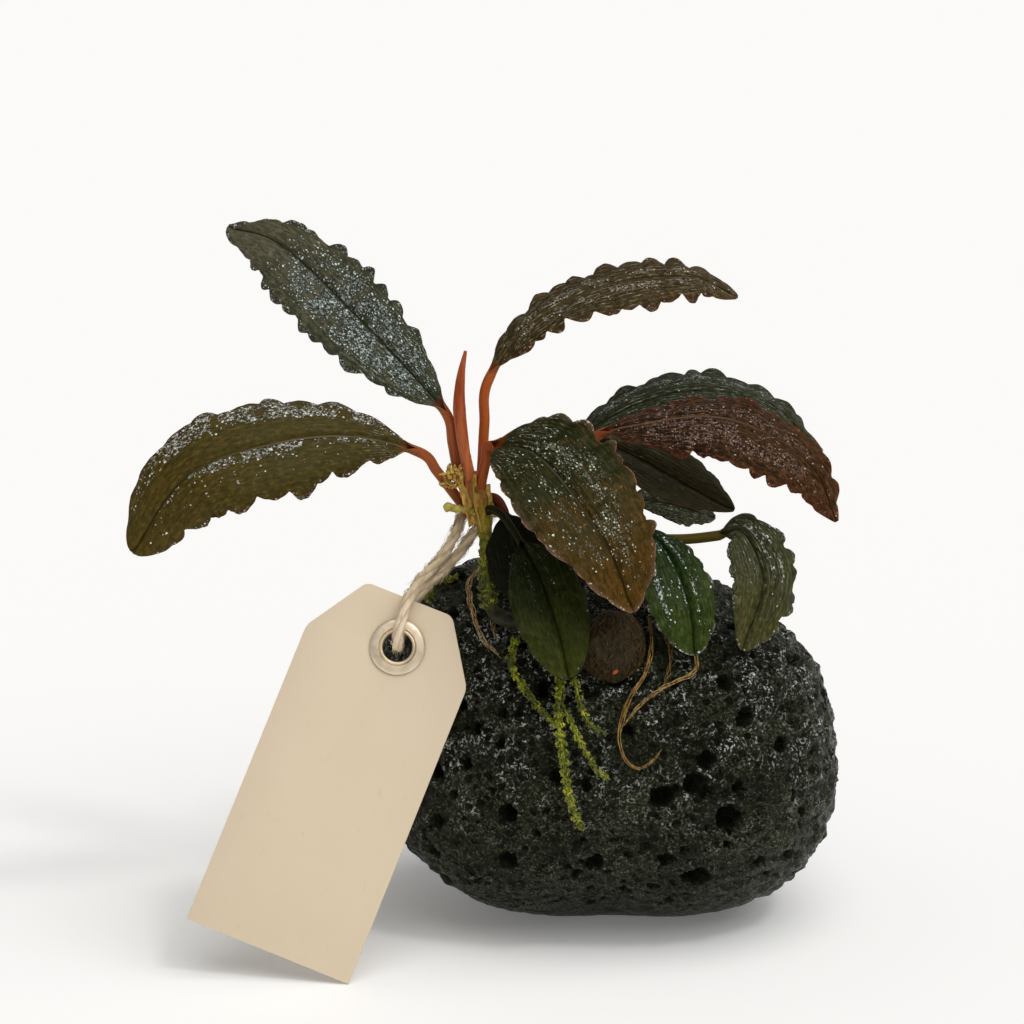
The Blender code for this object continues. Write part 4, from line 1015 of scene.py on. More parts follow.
# Each leaf has the points of its petiole and midrib, and the way that its upper face looks at the
# base and at the tip. Pairs are for its right and its left half: the half width, how blunt the tip
# is, how many lobes the margin has, how far they stand out and which way they curl. The fold is
# how far the halves rise from the midrib, in degrees. Most leaves keep the values that come first
COMMON_LEAF = {"widest": 0.5, "base_taper": 0.9, "curls": (1, -1), "petiole_radius": 0.85}
LEAVES = {
    "leaf_upper_left": {
        "petiole": ((-28.0, -10.4, 88.5), (-29.9, -9.6, 93.0), (-31.0, -9.2, 98.5)),
        "midrib": (
            (-32.0, -9.0, 104.0), (-37.0, -8.0, 110.0), (-49.5, -3.0, 122.5), (-65.0, 5.0, 136.0),
            (-76.0, 9.0, 139.5),
        ),
        "faces": ((0.2, -0.9, 0.4), (-0.1, -0.8, 0.6)), "half_widths": (7.4, 9.4),
        "blunt": (1.1, 2.0), "fold": 6.0, "lobes": (13, 14), "ruffle": (0.75, 0.75),
        "look": "grey_green", "slot": "leaf_grey_green",
    },
    "leaf_left": {
        "petiole": ((-27.4, -11.0, 85.0), (-30.2, -11.0, 88.2), (-34.0, -12.0, 93.5)),
        "midrib": (
            (-37.5, -13.0, 97.5), (-50.0, -18.0, 101.5), (-64.5, -23.0, 101.0), (-81.0, -27.0, 95.5),
            (-92.0, -27.0, 80.5),
        ),
        "faces": ((0.0, -0.8, 0.6), (-0.2, -0.9, 0.4)), "half_widths": (8.8, 10.2), "widest": 0.55,
        "blunt": (1.9, 1.9), "fold": -2.0, "lobes": (11, 11), "ruffle": (0.55, 1.15), "look": "olive",
        "slot": "leaf_olive",
    },
    "leaf_upper_right": {
        "petiole": ((-26.0, -10.0, 88.5), (-25.3, -8.4, 93.2), (-24.8, -7.0, 102.0)),
        "midrib": (
            (-24.0, -5.0, 110.5), (-15.5, 0.0, 121.5), (0.0, 8.0, 128.0), (16.5, 14.0, 129.0),
            (26.5, 16.0, 124.5),
        ),
        "faces": ((-0.3, -0.5, 0.85), (0.1, -0.5, 0.85)), "half_widths": (6.6, 5.6), "widest": 0.55,
        "blunt": (1.6, 1.8), "fold": -6.0, "lobes": (12, 12), "ruffle": (1.0, 0.85), "curls": (-1, 1),
        "look": "brown", "slot": "leaf_brown",
    },
    "leaf_front": {
        "petiole": ((-26.0, -11.6, 88.5), (-25.0, -13.0, 93.2), (-24.3, -13.6, 96.5)),
        "midrib": (
            (-23.5, -14.5, 99.0), (-15.5, -22.0, 99.0), (-8.5, -29.0, 93.0), (-1.0, -36.0, 82.5),
            (3.5, -39.0, 71.5),
        ),
        "faces": ((-0.1, -0.6, 0.8), (0.2, -0.8, 0.5)), "half_widths": (11.2, 11.6), "widest": 0.45,
        "blunt": (1.4, 1.4), "base_taper": 0.6, "fold": 5.0, "lobes": (11, 12), "ruffle": (0.65, 0.8),
        "curls": (1, 1), "look": "two_tone", "slot": "leaf_olive",
    },
    "leaf_right_back": {
        "petiole": ((-2.2, -2.5, 79.6), (-3.6, 0.6, 83.4), (-7.5, 4.0, 90.0)),
        "midrib": (
            (-7.0, 8.0, 96.0), (6.5, 14.0, 103.0), (20.5, 19.0, 105.0), (34.0, 23.0, 101.0),
            (45.5, 26.0, 91.0),
        ),
        "faces": ((0.0, -0.4, 0.9), (0.1, -0.4, 0.9)), "half_widths": (7.2, 7.2), "blunt": (1.3, 1.3),
        "base_taper": 0.7, "fold": -6.0, "lobes": (11, 13), "ruffle": (0.9, 0.7), "curls": (-1, 1),
        "look": "dark_green", "slot": "leaf_grey_green",
    },
    "leaf_right_red": {
        "petiole": ((-1.2, -3.8, 80.0), (-0.6, -3.4, 84.0), (-2.8, -4.6, 92.5)),
        "midrib": (
            (-2.5, -6.0, 99.5), (8.5, -9.0, 103.0), (20.0, -12.0, 104.5), (30.5, -15.0, 101.5),
            (39.5, -17.0, 94.5), (43.8, -17.0, 84.5),
        ),
        "faces": ((0.0, -0.6, 0.8), (0.3, -0.8, 0.5)), "half_widths": (8.2, 5.4), "widest": 0.52,
        "blunt": (1.3, 1.3), "fold": -14.0, "lobes": (12, 13), "ruffle": (0.85, 0.9),
        "curls": (-1, 1), "look": "red_brown", "slot": "leaf_red_brown",
    },
    "leaf_right_dark": {
        "petiole": ((-2.4, -4.2, 80.0), (-4.0, -4.0, 84.0), (-6.0, -3.0, 91.0)),
        "midrib": ((-4.0, -1.0, 98.0), (6.0, -3.0, 94.5), (14.5, -5.0, 90.0), (24.5, -8.0, 85.0)),
        "faces": ((0.0, -0.8, 0.6), (0.1, -0.8, 0.6)), "half_widths": (5.8, 6.0), "blunt": (1.2, 1.2),
        "fold": 4.0, "lobes": (7, 7), "ruffle": (0.25, 0.3), "look": "smooth_brown",
        "slot": "leaf_brown",
    },
    "leaf_small_back": {
        "petiole": ((-0.8, -2.5, 79.6), (1.0, 1.2, 81.8), (2.0, 5.0, 83.0)),
        "midrib": ((5.0, 8.0, 84.0), (13.0, 12.0, 82.5), (22.5, 15.0, 79.0)),
        "faces": ((0.0, -0.7, 0.7), (0.1, -0.7, 0.7)), "half_widths": (4.6, 4.6), "blunt": (1.2, 1.2),
        "fold": 5.0, "lobes": (7, 7), "ruffle": (0.45, 0.45), "look": "dark_green",
        "slot": "leaf_grey_green",
    },
    "leaf_right_green": {
        "petiole": ((-0.6, -5.5, 78.6), (2.6, -8.5, 79.6), (5.0, -11.0, 81.5)),
        "midrib": (
            (7.0, -14.0, 82.5), (11.5, -22.0, 78.0), (14.5, -28.5, 70.5), (15.5, -32.0, 61.5),
        ),
        "faces": ((0.0, -0.7, 0.7), (0.1, -0.9, 0.4)), "half_widths": (7.8, 4.9), "widest": 0.58,
        "blunt": (1.8, 1.8), "fold": 6.0, "lobes": (8, 8), "ruffle": (0.4, 0.4), "look": "deep_green",
        "slot": "leaf_deep_green",
    },
    "leaf_right_curled": {
        "petiole": ((-0.6, -4.4, 79.2), (2.4, -4.8, 79.6), (9.0, -7.5, 79.2), (15.0, -10.0, 79.6)),
        "midrib": (
            (21.0, -12.5, 80.8), (25.5, -15.0, 82.2), (29.0, -19.0, 76.0), (28.8, -22.0, 70.5),
            (25.0, -26.5, 61.0),
        ),
        "faces": ((-0.2, -0.9, 0.4), (0.2, -0.9, 0.3)), "half_widths": (5.8, 6.0),
        "blunt": (1.4, 1.4), "fold": 8.0, "lobes": (9, 11), "ruffle": (0.4, 0.75),
        "look": "grey_olive", "slot": "leaf_olive",
    },
    "leaf_low_front": {
        "petiole": ((-25.0, -12.4, 85.6), (-22.8, -14.2, 86.2), (-20.6, -16.6, 84.8)),
        "petiole_radius": 0.6,
        "midrib": (
            (-18.0, -20.0, 81.5), (-14.0, -26.5, 75.5), (-10.6, -32.4, 66.5), (-8.6, -35.8, 58.0),
        ),
        "faces": ((0.1, -0.9, 0.4), (0.0, -0.9, 0.3)), "half_widths": (7.2, 6.4), "blunt": (2.0, 2.0),
        "fold": 5.0, "lobes": (7, 7), "ruffle": (0.3, 0.3), "look": "shade_green",
        "slot": "leaf_deep_green",
    },
    "leaf_low_shaded": {
        "petiole": ((-25.0, -10.6, 86.2), (-23.9, -10.0, 87.6), (-22.4, -10.8, 87.6)),
        "midrib": ((-21.0, -12.4, 85.6), (-18.0, -17.5, 78.5), (-14.5, -25.6, 69.0)),
        "faces": ((-0.1, -0.9, 0.4), (0.0, -0.9, 0.4)), "half_widths": (6.4, 5.4),
        "blunt": (1.4, 1.4), "fold": 4.0, "lobes": (5, 5), "ruffle": (0.25, 0.25), "look": "shaded",
        "slot": "leaf_deep_green",
    },
}
# Colours near the base and the tip, of the midrib, margin, petiole and silver points, which are
# painted glints; how far the margin is coloured, how densely the points stand, how bright the
# painted highlight threads between them are, how far apart the points are and how far along the
# blade they reach, how far they keep to rows, the bands that they stand in (middle, half width
# and share, measured across the blade from -1 at its left margin to 1 at its right), how strongly
# crinkles, with painted shade in their folds and painted highlight on their crests, and veins
# show, how far along the blade painted silvery highlight lines run on the veins, and how strongly
# the skin shines
LEAF_LOOKS = {
    "grey_green": {
        "base": (0.030, 0.038, 0.022), "tip": (0.095, 0.083, 0.050), "rib": (0.004, 0.005, 0.002),
        "margin": (0.07, 0.05, 0.025), "petiole": (0.40, 0.10, 0.03), "silver_glint": (0.85, 0.98, 0.92),
        "edge": 0.5, "glints": 4.4, "threads": 0.7, "spacing": 0.5, "glints_end": 0.8, "rows": 0.15,
        "bands": ((-0.27, 0.55, 1.0), (0.42, 0.50, 0.6)), "crinkles": 0.55, "veins": 0.25,
        "lined": 0.4, "gloss": 0.22,
    },
    "olive": {
        "base": (0.054, 0.041, 0.008), "tip": (0.082, 0.055, 0.008), "rib": (0.16, 0.12, 0.07),
        "margin": (0.20, 0.05, 0.015), "petiole": (0.38, 0.10, 0.03), "silver_glint": (0.92, 0.92, 0.84),
        "edge": 0.6, "glints": 1.7, "threads": 0.95, "spacing": 0.52, "glints_end": 0.95, "rows": 0.4,
        "bands": ((0.78, 0.30, 1.0), (-0.12, 0.17, 1.0), (-0.42, 0.30, 0.10)), "crinkles": 0.45,
        "veins": 0.15, "lined": 0.2, "gloss": 0.13,
    },
    "brown": {
        "base": (0.034, 0.023, 0.004), "tip": (0.068, 0.042, 0.015), "rib": (0.13, 0.08, 0.03),
        "margin": (0.20, 0.035, 0.010), "petiole": (0.45, 0.10, 0.02), "silver_glint": (0.72, 0.64, 0.50),
        "edge": 0.6, "glints": 0.9, "threads": 0.6, "spacing": 0.5, "glints_end": 1.05, "rows": 0.4,
        "bands": ((0.35, 0.32, 0.8), (-0.30, 0.32, 0.7)), "crinkles": 1.0, "veins": 0.3, "lined": 1.3,
        "gloss": 0.14,
    },
    "two_tone": {
        "base": (0.013, 0.019, 0.004), "tip": (0.098, 0.046, 0.007), "rib": (0.07, 0.065, 0.040),
        "margin": (0.55, 0.28, 0.18), "petiole": (0.36, 0.08, 0.02), "silver_glint": (0.78, 0.82, 0.62),
        "edge": 0.7, "glints": 0.95, "threads": 0.2, "spacing": 0.48, "glints_end": 0.98, "rows": 0.5,
        "bands": ((0.40, 0.50, 0.5), (-0.32, 0.42, 1.0)), "crinkles": 0.4, "veins": 0.12,
        "lined": 0.25, "gloss": 0.09,
    },
    "dark_green": {
        "base": (0.022, 0.027, 0.010), "tip": (0.035, 0.037, 0.018), "rib": (0.010, 0.010, 0.005),
        "margin": (0.12, 0.05, 0.02), "petiole": (0.20, 0.09, 0.03), "silver_glint": (0.62, 0.66, 0.55),
        "edge": 0.5, "glints": 0.8, "threads": 0.7, "spacing": 0.5, "glints_end": 1.0, "rows": 0.6,
        "bands": ((-0.60, 0.36, 0.9), (0.20, 0.30, 0.4)), "crinkles": 1.0, "veins": 0.35,
        "lined": 1.3, "gloss": 0.1,
    },
    "red_brown": {
        "base": (0.030, 0.012, 0.005), "tip": (0.074, 0.027, 0.007), "rib": (0.22, 0.13, 0.08),
        "margin": (0.32, 0.06, 0.02), "petiole": (0.36, 0.09, 0.03), "silver_glint": (0.66, 0.46, 0.38),
        "edge": 0.9, "glints": 0.85, "threads": 0.4, "spacing": 0.42, "glints_end": 0.98, "rows": 0.2,
        "bands": ((-0.30, 0.45, 0.6), (0.42, 0.50, 0.8)), "crinkles": 1.0, "veins": 0.3, "lined": 0.5,
        "gloss": 0.12,
    },
    "smooth_brown": {
        "base": (0.020, 0.015, 0.004), "tip": (0.034, 0.026, 0.010), "rib": (0.008, 0.006, 0.002),
        "margin": (0.12, 0.05, 0.025), "petiole": (0.20, 0.08, 0.02), "silver_glint": (0.30, 0.28, 0.24),
        "edge": 0.4, "glints": 0.06, "threads": 0.05, "spacing": 0.6, "glints_end": 0.9, "rows": 0.6,
        "bands": ((0.40, 0.30, 1.0),), "crinkles": 0.25, "veins": 0.45, "lined": 0.5, "gloss": 0.18,
    },
    "deep_green": {
        "base": (0.005, 0.022, 0.003), "tip": (0.040, 0.060, 0.008), "rib": (0.006, 0.018, 0.006),
        "margin": (0.08, 0.08, 0.02), "petiole": (0.10, 0.09, 0.02), "silver_glint": (0.88, 0.98, 0.90),
        "edge": 0.5, "glints": 1.8, "threads": 1.0, "spacing": 0.5, "glints_end": 0.85, "rows": 0.9,
        "bands": ((0.56, 0.24, 1.0), (0.16, 0.15, 1.0), (-0.44, 0.20, 1.0)), "crinkles": 0.5,
        "veins": 0.2, "lined": 0.3, "gloss": 0.14,
    },
    "grey_olive": {
        "base": (0.042, 0.044, 0.022), "tip": (0.058, 0.056, 0.012), "rib": (0.016, 0.014, 0.006),
        "margin": (0.07, 0.06, 0.02), "petiole": (0.15, 0.11, 0.02), "silver_glint": (0.66, 0.70, 0.58),
        "edge": 0.3, "glints": 1.2, "threads": 1.0, "spacing": 0.55, "glints_end": 0.7, "rows": 0.8,
        "bands": ((-0.42, 0.36, 1.0), (0.30, 0.25, 0.3)), "crinkles": 0.75, "veins": 0.4,
        "lined": 0.6, "gloss": 0.18,
    },
    "shade_green": {
        "base": (0.011, 0.018, 0.003), "tip": (0.044, 0.052, 0.007), "rib": (0.007, 0.010, 0.004),
        "margin": (0.04, 0.04, 0.012), "petiole": (0.020, 0.019, 0.006), "silver_glint": (0.34, 0.38, 0.30),
        "edge": 0.3, "glints": 0.3, "threads": 0.1, "spacing": 0.6, "glints_end": 0.6, "rows": 0.9,
        "bands": ((0.34, 0.20, 1.0), (-0.25, 0.20, 0.8)), "crinkles": 0.25, "veins": 0.12,
        "lined": 0.3, "gloss": 0.1,
    },
    # The shaded look is darkened as painted shade, for a leaf that lies in deep shade behind the
    # others
    "shaded": {
        "base": (0.008, 0.009, 0.005), "tip": (0.010, 0.012, 0.006), "rib": (0.06, 0.02, 0.010),
        "margin": (0.04, 0.02, 0.010), "petiole": (0.17, 0.040, 0.020), "silver_glint": (0.24, 0.24, 0.20),
        "edge": 0.3, "glints": 0.10, "threads": 0.05, "spacing": 0.6, "glints_end": 0.6, "rows": 0.8,
        "bands": ((0.30, 0.25, 1.0),), "crinkles": 0.2, "veins": 0.3, "lined": 0.1, "gloss": 0.05,
    },
}


def blade_width(part, widest, base_taper, bluntness):
    """Share of the blade's half width at a part of its length, from 0 at the base to 0 at the tip."""
    if part < widest:
        return math.sin(math.pi / 2 * part / widest) ** base_taper
    return max(0.0, math.cos(math.pi / 2 * (part - widest) / (1.0 - widest))) ** (1.0 / bluntness)


def leaf_stations(leaf):
    """Part of the blade, centre, direction and upper side at each row of the leaf's mesh."""
    controls = (*leaf["petiole"], *leaf["midrib"])
    line = smooth_line(controls, steps=24)
    travelled = lengths_along(line)
    blade_start = travelled[len(leaf["petiole"]) * 24]
    blade_length = travelled[-1] - blade_start
    base = Vector(leaf["faces"][0])
    tip = Vector(leaf["faces"][1])
    rows = []
    up = None
    for i, (centre, direction) in reversed(list(enumerate(spaced(line, LEAF_ALONG + 1)))):
        part = (travelled[-1] * i / LEAF_ALONG - blade_start) / blade_length
        toward = base.lerp(tip, part) if part > CARRIED_PART else up
        up = (toward - direction * toward.dot(direction)).normalized()
        rows.append((part, centre, direction, up))
    return rows[::-1], blade_length


def margin_lobes(count, curls, draw):
    """Place, half width, height and curl of the lobes along one margin, as parts of the blade."""
    lobes = []
    for i in range(count):
        place = (i + 0.6 + draw.uniform(-0.28, 0.28)) / count
        width = draw.uniform(0.6, 1.3) * LOBE_OVERLAP / count
        lobes.append((place, width, draw.uniform(0.45, 1.25), curls * draw.uniform(0.4, 1.1)))
    return lobes


def lobe_at(lobes, part):
    """How far the margin stands out at a part of the blade, and which way it curls there."""
    crest = 0.0
    curl = 0.0
    for place, width, height, side in lobes:
        share = max(0.0, 1.0 - ((part - place) / width) ** 2) ** 1.1
        if share * height > crest:
            crest = share * height
            curl = side * share * height
    return crest, curl


def leaf_point(leaf, lobes, seed, part, centre, direction, up, across, from_start):
    """A point of the leaf's sheet, across running from -1 at the left margin to 1 at the right.

    With it come the distance from the midrib, its share of the blade's plain half width, the
    distance from the margin and how far the margin's lobe stands out there.
    """
    side = direction.cross(up)
    angle = math.pi * across
    flare = PETIOLE_FLARE * max(0.0, 1.0 - from_start / PETIOLE_FLARE_LENGTH) ** 2
    radius = leaf["petiole_radius"] + flare
    rolled = centre + (side * math.sin(angle) - up * math.cos(angle)) * radius
    if part <= 0.0:
        return rolled, radius * angle, across, 3.0, 0.0
    half = 0 if across > 0 else 1
    sign = 1 if across > 0 else -1
    away = abs(across)
    share = blade_width(part, leaf["widest"], leaf["base_taper"], leaf["blunt"][half])
    crest, curl = lobe_at(lobes[half], part)
    ruffle = leaf["ruffle"][half] * min(1.0, 2.5 * share, 3.5 * part, 6.0 * (1.0 - part))
    teeth = MARGIN_TEETH * noise.noise(Vector((part * 42.0, seed, half * 9.0)))
    plain_reach = TIP_HALF_WIDTH + leaf["half_widths"][half] * share
    reach = plain_reach + ruffle * (LOBE_REACH * (crest - LOBE_MIDDLE) + teeth)
    distance = reach * away
    fold = math.radians(leaf["fold"])
    out = side * sign * math.cos(fold) + up * math.sin(fold)
    rise = BLADE_BULGE * reach * away * (1.0 - away)
    rise -= RIB_GROOVE * math.exp(-((distance / RIB_GROOVE_WIDTH) ** 2)) * min(1.0, 4 * share)
    rise += ruffle * (LOBE_CURL * curl - LOBE_DROOP) * away**5
    wave = noise.noise(Vector((part * 4.5, seed + 2.0, half * 5.0 + away)))
    rise += MARGIN_WAVES * ruffle * wave * away**2
    uneven = noise.noise(Vector((part * 16.0, seed + 9.0, across * 3.0)))
    rise += BLADE_UNEVEN * share * uneven
    flat = centre + out * distance + up * rise
    opened = min(1.0, part / UNROLLED_PART)
    opened = opened * opened * (3 - 2 * opened)
    share_across = sign * min(1.0, distance / plain_reach)
    return rolled.lerp(flat, opened), sign * distance, share_across, reach * (1.0 - away), crest


def leaf_skin(name, look, is_upper=True):
    """A leaf's skin, read from its own map, which runs along and across it in millimetres."""
    sheen = (*WARM_SHEEN, 1.0)
    finish = new_finish(name, Specular_IOR_Level=look["gloss"], Specular_Tint=sheen)
    place = add_node(finish, "ShaderNodeUVMap", uv_map="blade").outputs[0]
    along = measured(finish, "along")
    across = measured(finish, "across")
    inset = measured(finish, "inset")
    crest = measured(finish, "crest")
    from_rib = maths(finish, "ABSOLUTE", axis_of(finish, place, "Y"))
    patches = noise_at(finish, place, 0.16, 4.0)
    mottle = noise_at(finish, place, 0.9)
    lengthwise = drawn_out(finish, place, (0.16, 2.3, 1.0))
    streaks = noise_at(finish, lengthwise, 1.0, 3.0, 0.6)
    # The blade's own tone
    toward_tip = ranged(finish, maths(finish, "MULTIPLY_ADD", patches, 0.9, along), 0.82, 1.40)
    skin = mixed(finish, toward_tip, look["base"], look["tip"])
    deep = tuple(0.28 * value for value in look["base"])
    pale = tuple(min(1.0, 2.4 * value + 0.02) for value in look["tip"])
    mottled = mixed(finish, ranged(finish, mottle, 0.35, 0.68, 0.0, 0.5), skin, deep)
    # Crinkles, with painted shade in their folds and a painted highlight along their crests
    crinkle = noise_at(finish, drawn_out(finish, place, (0.6, 1.6, 1.0)), 1.0, 4.0, 0.66)
    fold_shade = ranged(finish, crinkle, 0.50, 0.36, 0.0, look["crinkles"])
    crest_highlight = ranged(finish, crinkle, 0.53, 0.70, 0.0, 0.8 * look["crinkles"])
    mottled = mixed(finish, crest_highlight, mixed(finish, fold_shade, mottled, deep), pale)
    # Fine veins run from base to tip
    wobble = maths(finish, "MULTIPLY_ADD", mottle, 0.10, maths(finish, "ABSOLUTE", across))
    ripples = maths(finish, "SINE", maths(finish, "MULTIPLY", wobble, 58.0))
    vein = product(finish, ranged(finish, ripples, 0.4, 1.0), ranged(finish, streaks, 0.40, 0.62))
    vein = maths(finish, "MULTIPLY", vein, look["veins"])
    veined = mixed(finish, vein, mottled, pale)
    rib_tone = mixed(finish, ranged(finish, along, 0.35, 0.8), look["rib"], deep)
    ribbed = mixed(finish, ranged(finish, from_rib, 0.14, 0.32, 0.85, 0.0), veined, rib_tone)
    # Silver points, painted as glints of the wet skin, thickest in bands beside the midrib and on the
    # margin's lobes
    swirled = swirled_by(finish, place, 2.2, (0.55, 0.55, 0.0))
    scattered = drawn_out(finish, swirled, (0.78, 1.1, 1.0))
    spread = 1.0 / look["spacing"]
    from_point, lots = cells_at(finish, scattered, spread, voronoi_dimensions="2D")
    band = 0.0
    for middle, half, share in look["bands"]:
        from_middle = apart_from(finish, across, middle)
        inside = ranged(finish, from_middle, half, 0.35 * half, 0.0, share)
        band = maths(finish, "MAXIMUM", band, inside)
    band = maths(finish, "MULTIPLY", band, ranged(finish, from_rib, 0.2, 0.5))
    outer = ranged(finish, along, look["glints_end"], look["glints_end"] - 0.3)
    stretch = product(finish, ranged(finish, along, 0.06, 0.2), outer)
    clumps = ranged(finish, noise_at(finish, place, 0.26, 3.0, 0.6), 0.40, 0.52, 0.08, 1.0)
    on_lobes = product(finish, ranged(finish, inset, 1.1, 0.1), ranged(finish, crest, 0.45, 0.8))
    in_rows = maths(finish, "SINE", maths(finish, "MULTIPLY", wobble, 21.0))
    in_rows = ranged(finish, in_rows, -0.1, 0.6, 1.0 - look["rows"], 1.0)
    covered = product(finish, band, stretch, clumps, in_rows)
    covered = maths(finish, "MULTIPLY_ADD", on_lobes, 0.5, covered)
    chance = maths(finish, "MULTIPLY", covered, look["glints"])
    chosen = maths(finish, "LESS_THAN", lots[0], chance)
    torn = maths(finish, "MULTIPLY_ADD", noise_at(finish, place, 3.2, 2.0), 0.55, -0.27)
    size = maths(finish, "MULTIPLY_ADD", product(finish, lots[1], lots[1]), 0.28, 0.20)
    depth = maths(finish, "SUBTRACT", size, maths(finish, "ADD", from_point, torn))
    core = ranged(finish, depth, 0.0, 0.16)
    bright = maths(finish, "MULTIPLY_ADD", lots[2], 0.95, 0.10)
    glint = product(finish, core, chosen, bright)
    # Where the points run together a painted highlight of the wet skin lies in a net of short threads
    net = noise_at(finish, drawn_out(finish, swirled, (0.75, 1.3, 1.0)), 1.1, 3.0, 0.55)
    thread = product(
        finish,
        ranged(finish, apart_from(finish, net, 0.5), 0.075, 0.020),
        ranged(finish, noise_at(finish, place, 1.5), 0.44, 0.56),
        ranged(finish, covered, 0.25, 0.75),
        look["threads"],
    )
    shaded = mixed(finish, maths(finish, "MULTIPLY", chance, 0.35), ribbed, deep)
    silver_glinted = mixed(finish, maths(finish, "MAXIMUM", glint, thread), shaded, look["silver_glint"])
    # Painted silvery highlights in broken lines along the veins, on some leaves only near the base
    lines = product(
        finish,
        ranged(finish, ripples, 0.55, 1.0),
        ranged(finish, along, look["lined"], 0.7 * look["lined"]),
        ranged(finish, along, 0.05, 0.12),
        ranged(finish, noise_at(finish, lengthwise, 2.1, 3.0, 0.6), 0.50, 0.62),
        ranged(finish, noise_at(finish, place, 0.5), 0.40, 0.56),
        0.6,
    )
    silver_glinted = mixed(finish, lines, silver_glinted, look["silver_glint"])
    # The coloured margin and the petiole
    lobe_tint = product(finish, ranged(finish, inset, 1.3, 0.0), ranged(finish, crest, 0.3, 0.9))
    lobe_tint = maths(finish, "MULTIPLY", lobe_tint, 0.6 * look["edge"])
    silver_glinted = mixed(finish, lobe_tint, silver_glinted, tuple(0.4 * value for value in look["margin"]))
    edge = ranged(finish, inset, 0.20, 0.04, 0.0, look["edge"])
    edge = maths(finish, "MULTIPLY", edge, ranged(finish, mottle, 0.42, 0.62, 0.08, 0.9))
    blade = mixed(finish, edge, silver_glinted, look["margin"])
    if not is_upper:
        under = tuple(0.7 * value + 0.01 for value in look["tip"])
        blade = mixed(finish, vein, under, pale)
    dark_stalk = tuple(0.55 * value for value in look["petiole"])
    stalk = mixed(finish, ranged(finish, streaks, 0.3, 0.7), dark_stalk, look["petiole"])
    # The skin's own relief: smooth, with the veins and points standing up a little
    fine = noise_at(finish, place, 2.4, 4.0, 0.6)
    height = maths(finish, "MAXIMUM", product(finish, core, chance, 0.7), thread)
    height = maths(finish, "MULTIPLY_ADD", streaks, 0.5 * look["veins"] + 0.2, height)
    height = maths(finish, "MULTIPLY_ADD", fine, 0.16, height)
    height = maths(finish, "MULTIPLY_ADD", crinkle, 1.6 * look["crinkles"], height)
    height = maths(finish, "MULTIPLY", height, ranged(finish, along, 0.0, 0.1, 0.15, 1.0))
    connect(
        finish,
        Base_Color=mixed(finish, ranged(finish, along, 0.01, 0.07, 1.0, 0.0), blade, stalk),
        Roughness=ranged(finish, fine, 0.3, 0.7, 0.26, 0.44),
        Normal=relief(finish, height, 0.30),
    )
    return finish


def thicken(made, thickness):
    """Gives a sheet a wall, half of it to each side."""
    wall = made.modifiers.new("thickness", "SOLIDIFY")
    wall.thickness = thickness * MM
    wall.offset = 0.0
    return wall


def build_leaf(name, leaf, seed):
    """One leaf, petiole and blade in one sheet: rolled at the petiole and opened in the blade."""
    rows, blade_length = leaf_stations(leaf)
    draw = random.Random(seed + 40)
    lobes = [margin_lobes(*margin, draw) for margin in zip(leaf["lobes"], leaf["curls"])]
    row_step = (rows[1][1] - rows[0][1]).length
    bm = bmesh.new()
    bmesh.ops.create_grid(bm, x_segments=LEAF_ACROSS, y_segments=LEAF_ALONG, size=1.0)
    layer = bm.loops.layers.uv.new("blade")
    marks = []
    for vert in bm.verts:
        across = vert.co.x
        row = round((vert.co.y + 1) / 2 * LEAF_ALONG)
        part, centre, direction, up = rows[row]
        vert.co, offset, *measures = leaf_point(
            leaf, lobes, seed, part, centre, direction, up, across, row * row_step
        )
        marks.append((part, *measures, offset))
    for face in bm.faces:
        for loop in face.loops:
            part = marks[loop.vert.index][0]
            offset = marks[loop.vert.index][-1]
            loop[layer].uv = (part * blade_length + seed * 90.0, offset)
    look = LEAF_LOOKS[leaf["look"]]
    upper = leaf_skin(name + "_skin", look)
    lower = leaf_skin(name + "_underside", look, is_upper=False)
    made = place_piece(name + "_blade", bm, [upper, lower], leaf["slot"], name)
    for index, attribute in enumerate(("along", "across", "inset", "crest")):
        values = made.data.attributes.new(attribute, "FLOAT", "POINT").data
        values.foreach_set("value", [mark[index] for mark in marks])
    if sum(rows[LEAF_ALONG // 2][3].dot(face.normal) for face in made.data.polygons) < 0:
        made.data.flip_normals()
    thicken(made, LEAF_THICKNESS).material_offset = 1


for seed, (name, leaf) in enumerate(LEAVES.items()):
    build_leaf(name, {**COMMON_LEAF, **leaf}, seed)


# The mossy roots: roots of the plant grown over with a creeping moss, its small overlapping
# leaflets bright yellow-green, so that each root looks beaded. They lie on the stone's front.
LEAFLET_LENGTH = 0.85
LEAFLET_SHAPE = (0.30, 0.17, 0.50)
# For each millimetre of length, on a strand of one millimetre's radius
LEAFLETS_PER_MM = 26
BEAD_SPACING = 1.8
MOSS_COLOUR = (0.100, 0.130, 0.004)
MOSS_PALE_COLOUR = (0.46, 0.45, 0.025)
MOSS_DARK_COLOUR = (0.035, 0.050, 0.002)
# x and z along each, and its radius
MOSSY_ROOTS = {
    "mossy_root_main": (
        ((-10.0, 62.0), (-10.0, 57.0), (-10.5, 50.0), (-9.6, 43.0), (-8.4, 35.0), (-6.0, 29.0)),
        1.2,
    ),
    "mossy_root_left": (
        ((-18.5, 63.5), (-19.5, 58.5), (-17.5, 55.0), (-15.2, 52.2), (-11.4, 48.6)),
        0.9,
    ),
    "mossy_root_right": (((-7.5, 57.0), (-6.0, 51.5), (-4.0, 48.5), (-1.5, 47.5)), 0.7),
    "mossy_root_low": (((-9.6, 51.6), (-7.9, 48.8), (-6.0, 45.0), (-3.5, 41.0), (-1.0, 39.0)), 0.7),
}
# Moss that stands on the stone's shoulder and under the string
MOSS_TUFTS = {
    "moss_shoulder": (((-35.0, -5.0, 65.5), (-32.5, -5.5, 68.0), (-29.6, -6.5, 70.6)), 0.9),
    "moss_tuft": (((-36.0, -11.0, 67.2), (-35.4, -12.5, 69.4), (-34.8, -14.0, 71.8)), 0.9),
}
